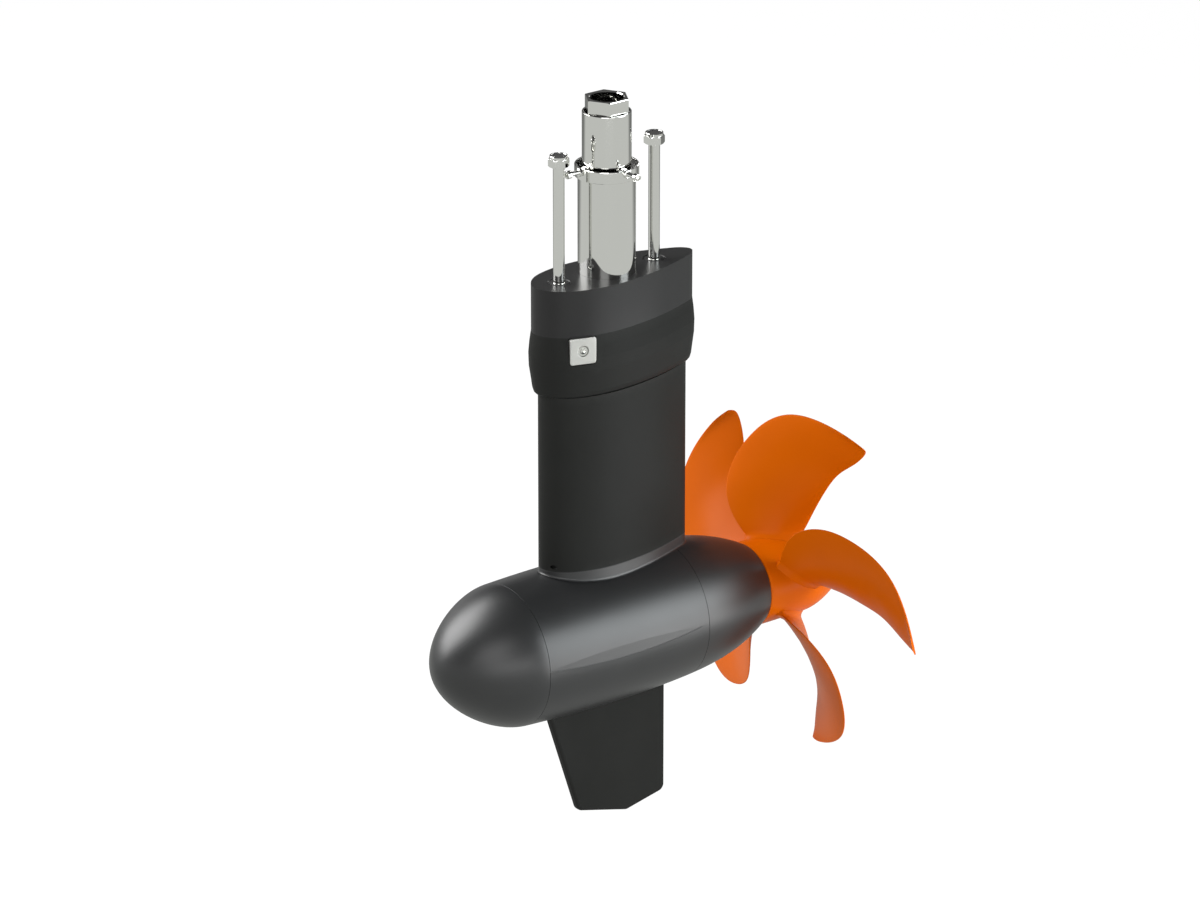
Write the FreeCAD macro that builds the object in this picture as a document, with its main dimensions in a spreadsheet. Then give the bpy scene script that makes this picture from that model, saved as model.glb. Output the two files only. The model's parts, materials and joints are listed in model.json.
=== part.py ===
import FreeCAD, Part
import math
import os
import Sketcher

V = FreeCAD.Vector

# Electric pod drive for a hull: stem tubes and studs above, faired leg, motor pod, skeg and propeller.
# The frame has +X forward, +Y to port and +Z up, with the origin on the stem axis at the hull face.
# Lengths are millimetres.

# Driving sizes
SIZES = {
    # Hull side: stem tube, sliding tube and collar
    "stem_radius": 25.0,
    "stem_wall": 2.5,
    "stem_rise": 87.6,
    "stem_depth": 66.0,
    "slide_gap": 1.2,
    "slide_relief": 0.6,
    "slide_land": 46.0,
    "slide_wall": 1.8,
    "land_gap": 1.3,
    "slide_bottom": 20.0,
    "collar_step": 2.8,
    "collar_wall": 1.8,
    "collar_rise": 9.4,
    "collar_grip": 0.9,
    "wiper_lip": 1.0,
    "wiper_depth": 6.0,
    "guide_height": 8.0,
    "bond_gap": 0.05,
    # Cable gland in the top of the sliding tube
    "gland_across": 35.0,
    "gland_height": 12.2,
    "gland_bore": 14.5,
    "gland_neck": 16.6,
    "gland_depth": 22.0,
    "gland_ring_height": 6.0,
    "gland_rubber_height": 9.0,
    "gland_rubber_wall": 4.0,
    "gland_seat": 14.0,
    "gland_land": 23.0,
    # Clamp screws in the collar
    "clamp_rise": 7.1,
    "clamp_radius": 2.0,
    "clamp_head_radius": 3.6,
    "clamp_head_length": 4.2,
    "clamp_stand": 15.7,
    "clamp_socket": 1.6,
    "clamp_nut_across": 7.0,
    "clamp_nut_length": 3.2,
    "clamp_seat": 0.4,
    # Hull studs and lock nuts
    "stud_pitch": 103.0,
    "stud_radius": 5.0,
    "stud_seat_radius": 5.6,
    "stud_depth": 84.0,
    "stud_plain": 102.3,
    "stud_thread": 11.6,
    "thread_radius": 4.8,
    "nut_across": 16.0,
    "nut_hex_height": 7.6,
    "nut_ring_radius": 8.1,
    "nut_ring_height": 2.6,
    "insert_radius": 6.6,
    "insert_height": 1.8,
    "thread_gap": 0.05,
    "cone_radius": 10.0,
    "cone_depth": 4.4,
    "cone_recess": 0.4,
    "seat_depth": 18.0,
    # Fairing block and leg head
    "block_nose": 76.5,
    "block_tail": 92.0,
    "block_half": 34.0,
    "block_height": 42.0,
    "block_gap": 0.15,
    "head_height": 57.0,
    "head_swell": 2.4,
    "duct_radius": 16.0,
    # Leg and gasket
    "leg_nose": 70.0,
    "leg_tail": 85.4,
    "leg_half": 30.5,
    "foot_rise": 6.6,
    "gasket_height": 0.8,
    "drain_radius": 1.8,
    "drain_inset": 4.0,
    # Anode plate on the leg head
    "anode_side": 24.0,
    "anode_corner": 2.5,
    "anode_thickness": 5.0,
    "anode_proud": 0.3,
    "anode_x": 49.0,
    "anode_lean": 17.5,
    "anode_gap": 0.5,
    "anode_screw_radius": 2.5,
    "anode_head_radius": 4.6,
    "anode_head_height": 2.6,
    "anode_screw_length": 16.0,
    "anode_drive": 2.2,
    # Pod
    "axis_drop": 329.6,
    "nose_seam": 110.0,
    "nose_length": 73.5,
    "nose_radius": 63.8,
    "nose_rise": 0.05,
    "nose_reach": 29.0,
    "nose_bluff": 30.5,
    "mid_length": 176.0,
    "mid_reach": 50.0,
    "seam_drop": 1.6,
    "seam_fall": 0.09,
    "tail_reach": 30.0,
    "rim_radius": 38.2,
    "rim_fall": 0.55,
    "pod_wall": 5.2,
    "spigot_length": 8.0,
    "spigot_wall": 5.0,
    "spigot_gap": 0.1,
    "ring_section": 1.2,
    "seam_groove": 0.5,
    "facet_length": 172.0,
    "facet_height": 10.5,
    "facet_rise": 5.0,
    "facet_shift": 5.0,
    "facet_depth": 0.45,
    # Skeg
    "skeg_thickness": 9.0,
    "skeg_front": 72.0,
    "skeg_toe": 33.5,
    "skeg_back": 62.0,
    "skeg_heel": 20.0,
    "skeg_toe_reach": 167.4,
    "skeg_reach": 180.7,
    "skeg_back_reach": 171.4,
    "skeg_edge": 3.0,
    "skeg_corner": 7.0,
    # Motor
    "motor_inset": 55.0,
    "motor_length": 60.0,
    "motor_shaft_radius": 9.0,
    "air_gap": 1.0,
    "stator_bore": 34.8,
    "slot_depth": 12.0,
    "tooth_tip": 2.7,
    "slot_mouth": 3.0,
    "slot_liner": 0.5,
    "overhang": 11.0,
    "magnet_thickness": 4.6,
    "bearing_radius": 20.0,
    "bearing_width": 12.0,
    "shield_inset": 38.0,
    "shield_thickness": 6.0,
    "board_inset": 14.0,
    "board_radius": 50.0,
    "board_thickness": 2.0,
    "post_circle": 42.0,
    "post_radius": 3.5,
    "can_circle": 28.0,
    "can_radius": 6.0,
    "can_height": 14.0,
    "fit_gap": 0.03,
    # Planetary gears
    "gear_module": 1.5,
    "sun_teeth": 18.0,
    "planet_teeth": 18.0,
    "gear_set": 8.0,
    "gear_width": 18.0,
    "gear_slack": 0.14,
    "ring_rim": 4.6,
    "planet_pin": 4.0,
    "carrier_radius": 35.0,
    "carrier_thickness": 8.0,
    "carrier_gap": 3.0,
    "planet_gap": 0.5,
    # Output shaft, its bearings and its seal
    "shaft_radius": 12.5,
    "race_radius": 26.0,
    "race_width": 15.0,
    "race_clear": 2.5,
    "race_spacer": 5.5,
    "shoulder_gap": 0.4,
    "seal_radius": 20.0,
    "seal_width": 7.0,
    "seal_clear": 2.5,
    "seal_inset": 4.0,
    # Propeller
    "prop_radius": 160.0,
    "hub_radius": 38.0,
    "hub_gap": 0.8,
    "hub_barrel": 52.0,
    "hub_cone": 38.0,
    "hub_end_radius": 24.5,
    "hub_bore": 10.5,
    "hub_recess_radius": 18.0,
    "hub_recess_depth": 14.0,
    "blade_count": 5.0,
    "blade_pitch": 340.0,
    "blade_root_thickness": 8.5,
    "blade_tip_thickness": 2.2,
    "blade_edge": 1.0,
    "blade_camber": 0.022,
    "blade_turn": 0.0,
    "washer_radius": 17.0,
    "washer_thickness": 2.0,
    "pin_radius": 2.5,
    "pin_length": 34.0,
    "pin_back": 8.0,
    "prop_nut_across": 24.0,
    "prop_nut_height": 10.0,
    "prop_thread_radius": 8.0,
}

# Sizes that follow from the driving sizes
TIED = {
    "slide_radius": "stem_radius - stem_wall - slide_gap",
    "slide_body": "slide_radius - slide_relief",
    "collar_radius": "stem_radius + collar_step",
    "collar_top": "stem_rise + collar_rise",
    "slide_top": "collar_top + land_gap + slide_land",
    "clamp_height": "stem_rise + clamp_rise",
    "clamp_reach": "collar_radius + clamp_stand",
    "stud_top": "stud_plain + stud_thread",
    "leg_foot": "axis_drop - nose_radius - foot_rise",
    "drain_x": "leg_nose - drain_inset",
    "seam_radius": "nose_radius - seam_drop",
    "bore_radius": "seam_radius - pod_wall",
    "skeg_toe_drop": "axis_drop + skeg_toe_reach",
    "skeg_drop": "axis_drop + skeg_reach",
    "skeg_back_drop": "axis_drop + skeg_back_reach",
    "motor_front": "nose_seam - motor_inset",
    "motor_back": "motor_length - motor_front",
    "slot_tip": "stator_bore + tooth_tip",
    "slot_root": "slot_tip + slot_depth",
    "shield_front": "nose_seam - shield_inset",
    "board_face": "nose_seam - board_inset",
    "plate_face": "mid_length - nose_seam - spigot_length - bearing_width",
    "gear_face": "mid_length - nose_seam + gear_set",
    "race_front": "gear_face + gear_width + carrier_gap + carrier_thickness + race_clear",
    "race_back": "race_front + race_width + race_spacer",
    "seal_back": "race_back + race_width + seal_clear + seal_width",
    "tail_length": "seal_back + seal_inset + nose_seam - mid_length",
}

doc = FreeCAD.newDocument("PodDrive")
sheet = doc.addObject("Spreadsheet::Sheet", "Dims")
for row, (word, value) in enumerate(SIZES.items(), start=1):
    sheet.set("A%d" % row, word)
    sheet.set("B%d" % row, repr(value))
    sheet.setAlias("B%d" % row, word)
doc.recompute()


def value_of(factor):
    """Value of a size, a tied size or a plain number."""
    if factor in TIED:
        return num(TIED[factor])
    return float(sheet.get(factor)) if factor in SIZES else float(factor)


def num(text):
    """Value of a sum of signed terms, each a number, a size or number*size."""
    total = 0.0
    sign = 1.0
    for token in text.split():
        if token == "+":
            sign = 1.0
        elif token == "-":
            sign = -1.0
        else:
            value = 1.0
            for factor in token.split("*"):
                value *= value_of(factor)
            total += sign * value
            sign = 1.0
    return total


def rule(text):
    """The same sum written as an expression on the sheet."""
    tokens = []
    for token in text.split():
        factors = []
        for factor in token.split("*"):
            if factor in TIED:
                factors.append("(%s)" % rule(TIED[factor]))
            else:
                factors.append("Dims." + factor if factor in SIZES else factor)
        tokens.append(" * ".join(factors))
    return " ".join(tokens)


def bind(thing, path, text):
    thing.setExpression(path, rule(text))


def place(thing, x="0", y="0", z="0"):
    """Place a body or primitive by its base point."""
    thing.Placement.Base = V(num(x), num(y), num(z))
    for letter, text in (("x", x), ("y", y), ("z", z)):
        if text != "0":
            bind(thing, "Placement.Base." + letter, text)


def new_sketch(body, role):
    """Empty sketch on one of the body's own origin planes."""
    sketch = body.newObject("Sketcher::SketchObject", body.Name + "_sketch")
    plane = [f for f in body.Origin.OriginFeatures if f.Role == role][0]
    sketch.AttachmentSupport = [(plane, "")]
    sketch.MapMode = "FlatFace"
    return sketch


def pin_point(sketch, edge, end, across, up):
    """Fix one sketch point at two bound distances from the origin."""
    for kind, text in (("DistanceX", across), ("DistanceY", up)):
        value = num(text)
        if abs(value) < 1e-9:
            axis = -2 if kind == "DistanceX" else -1
            sketch.addConstraint(Sketcher.Constraint("PointOnObject", edge, end, axis))
            continue
        index = sketch.addConstraint(Sketcher.Constraint(kind, -1, 1, edge, end, value))
        bind(sketch, "Constraints[%d]" % index, text)


def polygon(sketch, points):
    """Closed outline of straight edges through bound points."""
    spots = [V(num(a), num(b), 0) for a, b in points]
    count = len(points)
    for i in range(count):
        sketch.addGeometry(Part.LineSegment(spots[i], spots[(i + 1) % count]), False)
    for i in range(count):
        sketch.addConstraint(Sketcher.Constraint("Coincident", i, 2, (i + 1) % count, 1))
    for i, (a, b) in enumerate(points):
        pin_point(sketch, i, 1, a, b)


def turned(name, axis, points, x="0", y="0", z="0"):
    """Turned piece: outline of (along, radius) about X, or (radius, height) about Z."""
    body = doc.addObject("PartDesign::Body", name)
    sketch = new_sketch(body, "XZ_Plane")
    polygon(sketch, points)
    spin = body.newObject("PartDesign::Revolution", name + "_turn")
    spin.Profile = sketch
    spin.ReferenceAxis = (sketch, ["H_Axis" if axis == "X" else "V_Axis"])
    spin.Angle = 360
    place(body, x, y, z)
    return body


def ring(name, axis, inner, outer, low, high, x="0", y="0", z="0"):
    """Plain ring or disc between two stations of an axis."""
    corners = [(inner, low), (outer, low), (outer, high), (inner, high)]
    if axis == "X":
        corners = [(b, a) for a, b in corners]
    return turned(name, axis, corners, x, y, z)


def cut(name, base, *tools):
    result = doc.addObject("Part::Cut", name)
    result.Base = base
    result.Tool = tools[0] if len(tools) == 1 else fuse(name + "_tools", *tools)
    return result


def fuse(name, *pieces):
    result = doc.addObject("Part::MultiFuse", name)
    result.Shapes = list(pieces)
    return result


def common(name, *pieces):
    result = doc.addObject("Part::MultiCommon", name)
    result.Shapes = list(pieces)
    return result


def rod(name, radius, length, x="0", y="0", z="0", axis=V(0, 0, 1)):
    """Cylinder from a base point along an axis."""
    thing = doc.addObject("Part::Cylinder", name)
    thing.Radius = num(radius)
    thing.Height = num(length)
    bind(thing, "Radius", radius)
    bind(thing, "Height", length)
    thing.Placement.Rotation = FreeCAD.Rotation(V(0, 0, 1), axis)
    place(thing, x, y, z)
    return thing


def hexagon(name, across, length, x="0", y="0", z="0", axis=V(0, 0, 1), turn=0.0):
    """Hexagonal prism of a given size across its flats."""
    thing = doc.addObject("Part::Prism", name)
    thing.Polygon = 6
    thing.Circumradius = num(across) / math.sqrt(3.0)
    thing.setExpression("Circumradius", "(%s) / sqrt(3)" % rule(across))
    thing.Height = num(length)
    bind(thing, "Height", length)
    swing = FreeCAD.Rotation(V(0, 0, 1), axis)
    thing.Placement.Rotation = swing.multiply(FreeCAD.Rotation(V(0, 0, 1), turn))
    place(thing, x, y, z)
    return thing


def block(name, length, width, height, x="0", y="0", z="0"):
    thing = doc.addObject("Part::Box", name)
    for side, text in (("Length", length), ("Width", width), ("Height", height)):
        setattr(thing, side, num(text))
        bind(thing, side, text)
    place(thing, x, y, z)
    return thing


def solid(name, shape):
    """Shape made from curves in code."""
    thing = doc.addObject("Part::Feature", name)
    thing.Shape = shape
    return thing


parts = {}

# Foil section: share of the length from the nose, and share of the half width
FOIL = ((0.03, 0.40), (0.10, 0.71), (0.20, 0.90), (0.34, 1.0), (0.50, 0.955), (0.65, 0.82),
        (0.80, 0.60), (0.91, 0.39), (0.975, 0.215))


def foil_edge(nose, tail, half, height):
    """Closed smooth foil outline at one height, blunt at the tail."""
    length = nose + tail
    port = [V(nose - a * length, b * half, height) for a, b in FOIL]
    board = [V(p.x, -p.y, height) for p in reversed(port)]
    curve = Part.BSplineCurve()
    curve.interpolate([V(nose, 0, height)] + port + [V(-tail, 0, height)] + board, PeriodicFlag=True)
    return curve.toShape()


def foil_block(nose, tail, half, low, high):
    """Straight prism of the foil section between two heights."""
    wire = Part.Wire([foil_edge(nose, tail, half, low)])
    return Part.Face(wire).extrude(V(0, 0, high - low))


# Fairing block between the hull and the leg
foil = foil_block(num("block_nose"), num("block_tail"), num("block_half"), num("- block_height"), 0.0)
block_form = solid("block_form", foil)
stem_hole = rod("stem_hole", "stem_radius + block_gap", "block_height + 2", z="- block_height - 1")
stud_tools = []
for side, sign in (("fore", ""), ("aft", "- ")):
    spot = sign + "0.5*stud_pitch"
    stud_tools.append(rod("stud_hole_" + side, "stud_seat_radius + block_gap", "block_height + 2", spot,
                          "0",
                          "- block_height - 1"))
    stud_tools.append(turned("cone_seat_" + side, "Z", [
        ("0", "- cone_depth"), ("stud_seat_radius + 1", "- cone_depth"),
        ("cone_radius + 0.1", "0"), ("cone_radius + 0.1", "1"), ("0", "1")], x=spot))
parts["hull_adapter"] = cut("hull_adapter", block_form, stem_hole, *stud_tools)

# Stem tube, its collar, the wiper, the sliding tube and its guide
parts["stem_tube"] = ring("stem_tube", "Z", "stem_radius - stem_wall", "stem_radius", "- stem_depth",
                          "stem_rise")
collar_form = turned("collar_form", "Z", [
    ("stem_radius + bond_gap", "stem_rise - collar_grip"), ("collar_radius", "stem_rise - collar_grip"),
    ("collar_radius", "collar_top"), ("collar_radius - collar_wall", "collar_top"),
    ("collar_radius - collar_wall", "stem_rise"), ("stem_radius + bond_gap", "stem_rise")])
parts["tube_wiper"] = turned("tube_wiper", "Z", [
    ("slide_body + bond_gap", "stem_rise - wiper_depth"),
    ("stem_radius - stem_wall - bond_gap", "stem_rise - wiper_depth"),
    ("stem_radius - stem_wall - bond_gap", "stem_rise + bond_gap"),
    ("collar_radius - collar_wall - bond_gap", "stem_rise + bond_gap"),
    ("collar_radius - collar_wall - bond_gap", "stem_rise + wiper_lip"),
    ("slide_body + bond_gap", "stem_rise + wiper_lip")])
parts["slide_tube"] = turned("slide_tube", "Z", [
    ("slide_radius - slide_wall", "slide_bottom"), ("slide_body", "slide_bottom"),
    ("slide_body", "slide_top - slide_land"), ("slide_radius", "slide_top - slide_land"),
    ("slide_radius", "slide_top"), ("slide_radius - slide_wall", "slide_top")])
parts["tube_guide"] = ring("tube_guide", "Z", "slide_body + bond_gap", "stem_radius - stem_wall - bond_gap",
                           "slide_bottom", "slide_bottom + guide_height")

# Clamp screws through the collar, one ahead and one to port, each with a nut outside and one inside
clamp_holes = []
for side, axis, turn in (("fore", V(1, 0, 0), 30.0), ("port", V(0, 1, 0), 0.0)):

    def spot(out):
        return (out, "0", "clamp_height") if side == "fore" else ("0", out, "clamp_height")

    clamp_holes.append(rod("clamp_hole_" + side, "clamp_radius + thread_gap", "12",
                           *spot("collar_radius - 8"), axis=axis))
    shank = rod("clamp_shank_" + side, "clamp_radius", "clamp_reach - slide_body - bond_gap",
                *spot("slide_body + bond_gap"), axis=axis)
    head = rod("clamp_head_" + side, "clamp_head_radius", "clamp_head_length",
               *spot("clamp_reach - clamp_head_length"), axis=axis)
    socket = hexagon("clamp_socket_" + side, "2*clamp_socket", "3", *spot("clamp_reach - 2.5"), axis=axis)
    parts["clamp_screw_" + side] = cut("clamp_screw_" + side, fuse("clamp_form_" + side, shank, head),
                                       socket)
    bore = rod("clamp_bore_" + side, "clamp_radius + thread_gap", "clamp_reach - slide_body",
               *spot("slide_body"), axis=axis)
    for word, start in (("outer", "collar_radius + bond_gap"),
                        ("inner", "collar_radius - collar_wall - clamp_nut_length - clamp_seat")):
        label = "clamp_nut_%s_%s" % (side, word)
        nut = hexagon(label + "_form", "clamp_nut_across", "clamp_nut_length", *spot(start), axis=axis,
                      turn=turn)
        parts[label] = cut(label, nut, bore)
parts["tube_collar"] = cut("tube_collar", collar_form, *clamp_holes)

# Cable gland: hexagon on the tube rim, holding ring and rubber sleeve below it
gland_hex = hexagon("gland_hex", "gland_across", "gland_height - bond_gap", z="slide_top + bond_gap")
gland_bevel = turned("gland_bevel", "Z", [
    ("0", "0"), ("0.5*gland_across + 2", "0"), ("0.5*gland_across + 2.6", "1.2"),
    ("0.5*gland_across + 2.6", "gland_height - 1.4"), ("0.5*gland_across + 0.8", "gland_height"),
    ("0", "gland_height")], z="slide_top")
gland_neck = rod("gland_neck", "gland_neck", "gland_depth + 1", z="slide_top - gland_depth")
gland_bore = rod("gland_bore", "gland_bore", "gland_land", z="slide_top + gland_height - gland_land")
gland_seat = rod("gland_seat", "gland_seat", "gland_depth + gland_height", z="slide_top - gland_depth - 1")
gland_form = fuse("gland_form", common("gland_top", gland_hex, gland_bevel), gland_neck)
parts["gland_nut"] = cut("gland_nut", gland_form, gland_bore, gland_seat)
parts["gland_ring"] = ring("gland_ring", "Z", "gland_neck + bond_gap",
                           "slide_radius - slide_wall - bond_gap",
                           "slide_top - gland_depth + 4", "slide_top - gland_depth + 4 + gland_ring_height")
parts["gland_rubber"] = ring("gland_rubber", "Z", "gland_seat - gland_rubber_wall", "gland_seat - bond_gap",
                             "slide_top - gland_depth + 2",
                             "slide_top - gland_depth + 2 + gland_rubber_height")

# Hull studs with sealing cones and lock nuts
for side, sign in (("fore", ""), ("aft", "- ")):
    spot = sign + "0.5*stud_pitch"
    parts["stud_" + side] = turned("stud_" + side, "Z", [
        ("0", "- stud_depth"), ("thread_radius", "- stud_depth"), ("thread_radius",
                                                                   "- block_height - seat_depth"),
        ("stud_seat_radius", "- block_height - seat_depth"), ("stud_seat_radius", "0"), ("stud_radius",
                                                                                         "0"),
        ("stud_radius", "stud_plain"), ("thread_radius", "stud_plain"), ("thread_radius", "stud_top - 1"),
        ("thread_radius - 1", "stud_top"), ("0", "stud_top")], x=spot)
    parts["stud_cone_" + side] = turned("stud_cone_" + side, "Z", [
        ("stud_seat_radius + bond_gap", "- cone_depth"), ("stud_seat_radius + 1 - bond_gap",
                                                          "- cone_depth"),
        ("cone_radius - 1", "- cone_recess"), ("stud_seat_radius + bond_gap", "- cone_recess")], x=spot)
    body = hexagon("nut_hex_" + side, "nut_across", "nut_hex_height", spot, "0", "stud_plain + 2",
                   turn=30.0)
    crown = rod("nut_crown_" + side, "nut_ring_radius", "nut_ring_height", spot, "0",
                "stud_plain + 2 + nut_hex_height")
    bore = rod("nut_bore_" + side, "thread_radius + thread_gap", "nut_hex_height + 2", spot, "0",
               "stud_plain + 1")
    pocket = rod("nut_pocket_" + side, "insert_radius", "nut_ring_height + 2", spot, "0",
                 "stud_plain + 2 + nut_hex_height + nut_ring_height - insert_height")
    parts["lock_nut_" + side] = cut("lock_nut_" + side, fuse("nut_form_" + side, body, crown), bore, pocket)
    parts["nut_insert_" + side] = ring("nut_insert_" + side, "Z", "thread_radius + thread_gap",
                                       "insert_radius - bond_gap",
                                       "stud_plain + 2 + nut_hex_height + nut_ring_height - insert_height",
                                       "stud_plain + 2 + nut_hex_height + nut_ring_height - 0.3", x=spot)

# Leg head: a swollen foil band below the block, with a rounded lower edge
HEAD = ((0.0, 0.0), (0.18, 0.62), (0.36, 1.0), (0.56, 0.85), (0.74, 0.2), (0.90, -0.35), (0.96, -0.85),
        (0.985, -1.45),
        (1.0, -2.3))
bands = []
for down, swell in HEAD:
    grow = swell * num("head_swell")
    level = num("- block_height") - down * num("head_height")
    edge = foil_edge(num("block_nose") + grow, num("block_tail") + grow, num("block_half") + grow, level)
    bands.append(Part.Wire([edge]))
head_form = solid("head_form", Part.makeLoft(bands, True, True))
socket = rod("head_socket", "stem_radius + bond_gap", "stem_depth - block_height + 1", z="- stem_depth")
duct = rod("head_duct", "duct_radius", "head_height + block_height + 2",
           z="- block_height - head_height - 1")
head_tools = [socket, duct]
for side, sign in (("fore", ""), ("aft", "- ")):
    spot = sign + "0.5*stud_pitch"
    head_tools.append(rod("head_thread_" + side, "thread_radius + thread_gap", "stud_depth", spot, "0",
                          "- stud_depth - 2"))
    head_tools.append(rod("head_seat_" + side, "stud_seat_radius + block_gap", "seat_depth + 1.5", spot,
                          "0",
                          "- block_height - seat_depth - 0.5"))

# Anode plate let into the port side of the leg head, just under the block
lean = FreeCAD.Rotation(V(0, 0, 1), -num("anode_lean"))
anode_z = num("- block_height - 0.5*anode_side - anode_gap")
anode_down = num("0.5*anode_side + anode_gap") / num("head_height")
below, above = [max(s for s in HEAD if s[0] <= anode_down), min(s for s in HEAD if s[0] > anode_down)]
blend = (anode_down - below[0]) / (above[0] - below[0])
grow = (below[1] + blend * (above[1] - below[1])) * num("head_swell")
skin = foil_edge(num("block_nose") + grow, num("block_tail") + grow, num("block_half") + grow, anode_z)
probe = Part.makeLine(V(num("anode_x"), 0, anode_z), V(num("anode_x"), num("2*block_half"), anode_z))
anode_spot = FreeCAD.Placement(skin.distToShape(probe)[1][0][0], lean)


def rounded_plate(side, corner, low, high):
    """Square plate with rounded corners, centred, square to its local Y axis."""
    form = Part.makeBox(side, high - low, side, V(-side / 2, low, -side / 2))
    uprights = [e for e in form.Edges if e.BoundBox.XLength < 1e-6 and e.BoundBox.ZLength < 1e-6]
    return form.makeFillet(corner, uprights)


def lean_rod(radius, low, high):
    """Rod along the plate's own normal."""
    return Part.makeCylinder(radius, high - low, V(0, low, 0), V(0, 1, 0))


top = num("anode_proud")
plate = rounded_plate(num("anode_side"), num("anode_corner"), top - num("anode_thickness"), top)
clear = num("anode_side")
plate = plate.cut(lean_rod(num("anode_screw_radius + block_gap"), -clear, clear))
plate = plate.cut(lean_rod(num("anode_head_radius + 2*block_gap"), top - num("anode_head_height"), clear))
parts["anode_plate"] = solid("anode_plate", plate)
screw = lean_rod(num("anode_head_radius"), top - num("anode_head_height") + num("bond_gap"), top - 0.3)
screw = screw.fuse(lean_rod(num("anode_screw_radius"), top - num("anode_screw_length"), top - 1.0))
flats_at = [k * math.pi / 3 for k in range(7)]
drive = Part.makePolygon([V(math.sin(a), 0, math.cos(a)) * num("anode_drive") for a in flats_at])
drive = Part.Face(drive).extrude(V(0, 4, 0)).translated(V(0, top - 1.9, 0))
parts["anode_screw"] = solid("anode_screw", screw.cut(drive))
gap = num("anode_gap")
pocket = rounded_plate(num("anode_side") + 2 * gap, num("anode_corner") + gap,
                       -num("anode_thickness") + top, clear)
pocket = pocket.fuse(lean_rod(num("anode_screw_radius + thread_gap"), -num("anode_screw_length"), 0.0))
anode_pocket = solid("anode_pocket", pocket)
for thing in (parts["anode_plate"], parts["anode_screw"], anode_pocket):
    thing.Placement = anode_spot
parts["leg_head"] = cut("leg_head", head_form, *head_tools, anode_pocket)

# Leg and the gasket at its foot, both with the cable duct
leg_size = (num("leg_nose"), num("leg_tail"), num("leg_half"))
head_base = num("- block_height - head_height")
leg_form = solid("leg_form", foil_block(*leg_size, num("- leg_foot"), head_base))
leg_duct = rod("leg_duct", "duct_radius", "leg_foot", z="- leg_foot - 1")
drain = rod("drain", "drain_radius", "60", "drain_x", "0", "- leg_foot + 4", axis=V(0, 1, 0))
parts["leg"] = cut("leg", leg_form, leg_duct, drain)
skirt = num("- leg_foot - gasket_height")
gasket_size = [size - num("block_gap") for size in leg_size]
gasket_form = solid("gasket_form", foil_block(*gasket_size, skirt, num("- leg_foot")))
gasket_duct = rod("gasket_duct", "duct_radius", "gasket_height + 2", z="- leg_foot - gasket_height - 1")
parts["leg_gasket"] = cut("leg_gasket", gasket_form, gasket_duct)

# Pod outline: three smooth curves joined at the two seams
nose_tip = num("nose_seam + nose_length")
tail_seam = num("nose_seam - mid_length")
rim_face = num("nose_seam - mid_length - tail_length")


def pod_curves(skin):
    """Curves from the tip to the rim in XZ, a skin's thickness inside the surface."""
    nose, seam, rim = num("nose_radius") - skin, num("seam_radius") - skin, num("rim_radius") - skin
    front, tip = num("nose_seam"), nose_tip - skin
    rise, fall, slope = num("nose_rise"), num("seam_fall"), num("rim_fall")
    a, b, c = num("nose_reach"), num("mid_reach"), num("tail_reach")
    nets = [
        [(tip, 0), (tip, num("nose_bluff")), (front + a, nose - a * rise), (front, nose)],
        [(front, nose), (front - b, nose + b * rise), (tail_seam + b, seam + b * fall), (tail_seam, seam)],
        [(tail_seam, seam), (tail_seam - c, seam - c * fall), (rim_face + c, rim + c * slope), (rim_face,
                                                                                                rim)]]
    curves = []
    for net in nets:
        curve = Part.BezierCurve()
        curve.setPoles([V(x, 0, z) for x, z in net])
        curves.append(curve.toShape())
    return curves


def pod_solid():
    """Solid of revolution inside the pod outline."""
    curves = pod_curves(0.0)
    tip, foot = V(nose_tip, 0, 0), V(rim_face, 0, 0)
    rim = V(rim_face, 0, num("rim_radius"))
    outline = Part.Wire(curves + [Part.makeLine(rim, foot), Part.makeLine(foot, tip)])
    return Part.Face(outline).revolve(V(0, 0, 0), V(1, 0, 0), 360)


def on_axis(thing, x=0.0):
    thing.Placement.Base = V(x, 0, -num("axis_drop"))
    bind(thing, "Placement.Base.z", "- axis_drop")
    return thing


def slab(name, back, front, radius="nose_radius + 20"):
    """Wide disc that keeps one stretch of the pod."""
    return ring(name, "X", "0", radius, back, front, z="- axis_drop")


def pod_stretch(name, back, front):
    return common(name, on_axis(solid(name + "_form", pod_solid())), slab(name + "_slab", back, front))


def seam_ring(name, at, radius):
    """Shallow V round the pod at a seam."""
    return turned(name, "X", [(at, radius + " - seam_groove"), (at + " + seam_groove",
                                                                radius + " + seam_groove"),
                              (at + " - seam_groove", radius + " + seam_groove")], z="- axis_drop")


tail_at = "nose_seam - mid_length"
rim_at = tail_at + " - tail_length"
front_groove = seam_ring("front_groove", "nose_seam", "nose_radius")
back_groove = seam_ring("back_groove", tail_at, "seam_radius")

# Nose cap: a shell with a spigot and a sealing ring
nose_skin = pod_stretch("nose_skin", "nose_seam", "nose_seam + nose_length + 1")
HOLLOW = ((0.0, 0.895), (0.30, 0.79), (0.56, 0.605), (0.76, 0.36), (0.86, 0.0))
hollow_points = [("nose_seam + %r*nose_length" % a, "%r*nose_radius" % b) for a, b in HOLLOW]
hollow_points[-1] = ("nose_seam + %r*nose_length" % HOLLOW[-1][0], "0")
nose_hollow = turned("nose_hollow", "X", [("nose_seam - 1", "0"), ("nose_seam - 1",
                                                                   "0.895*nose_radius")] + hollow_points,
                     z="- axis_drop")
spigot_radius = "bore_radius - spigot_gap"


def spigot(name, back, front):
    return ring(name, "X", "bore_radius - spigot_wall - 2", spigot_radius, back, front, z="- axis_drop")


def ring_groove(name, middle):
    return ring(name, "X", spigot_radius + " - 2*ring_section + 0.1", "bore_radius + 1",
                middle + " - ring_section - 0.1", middle + " + ring_section + 0.1", z="- axis_drop")


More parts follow.
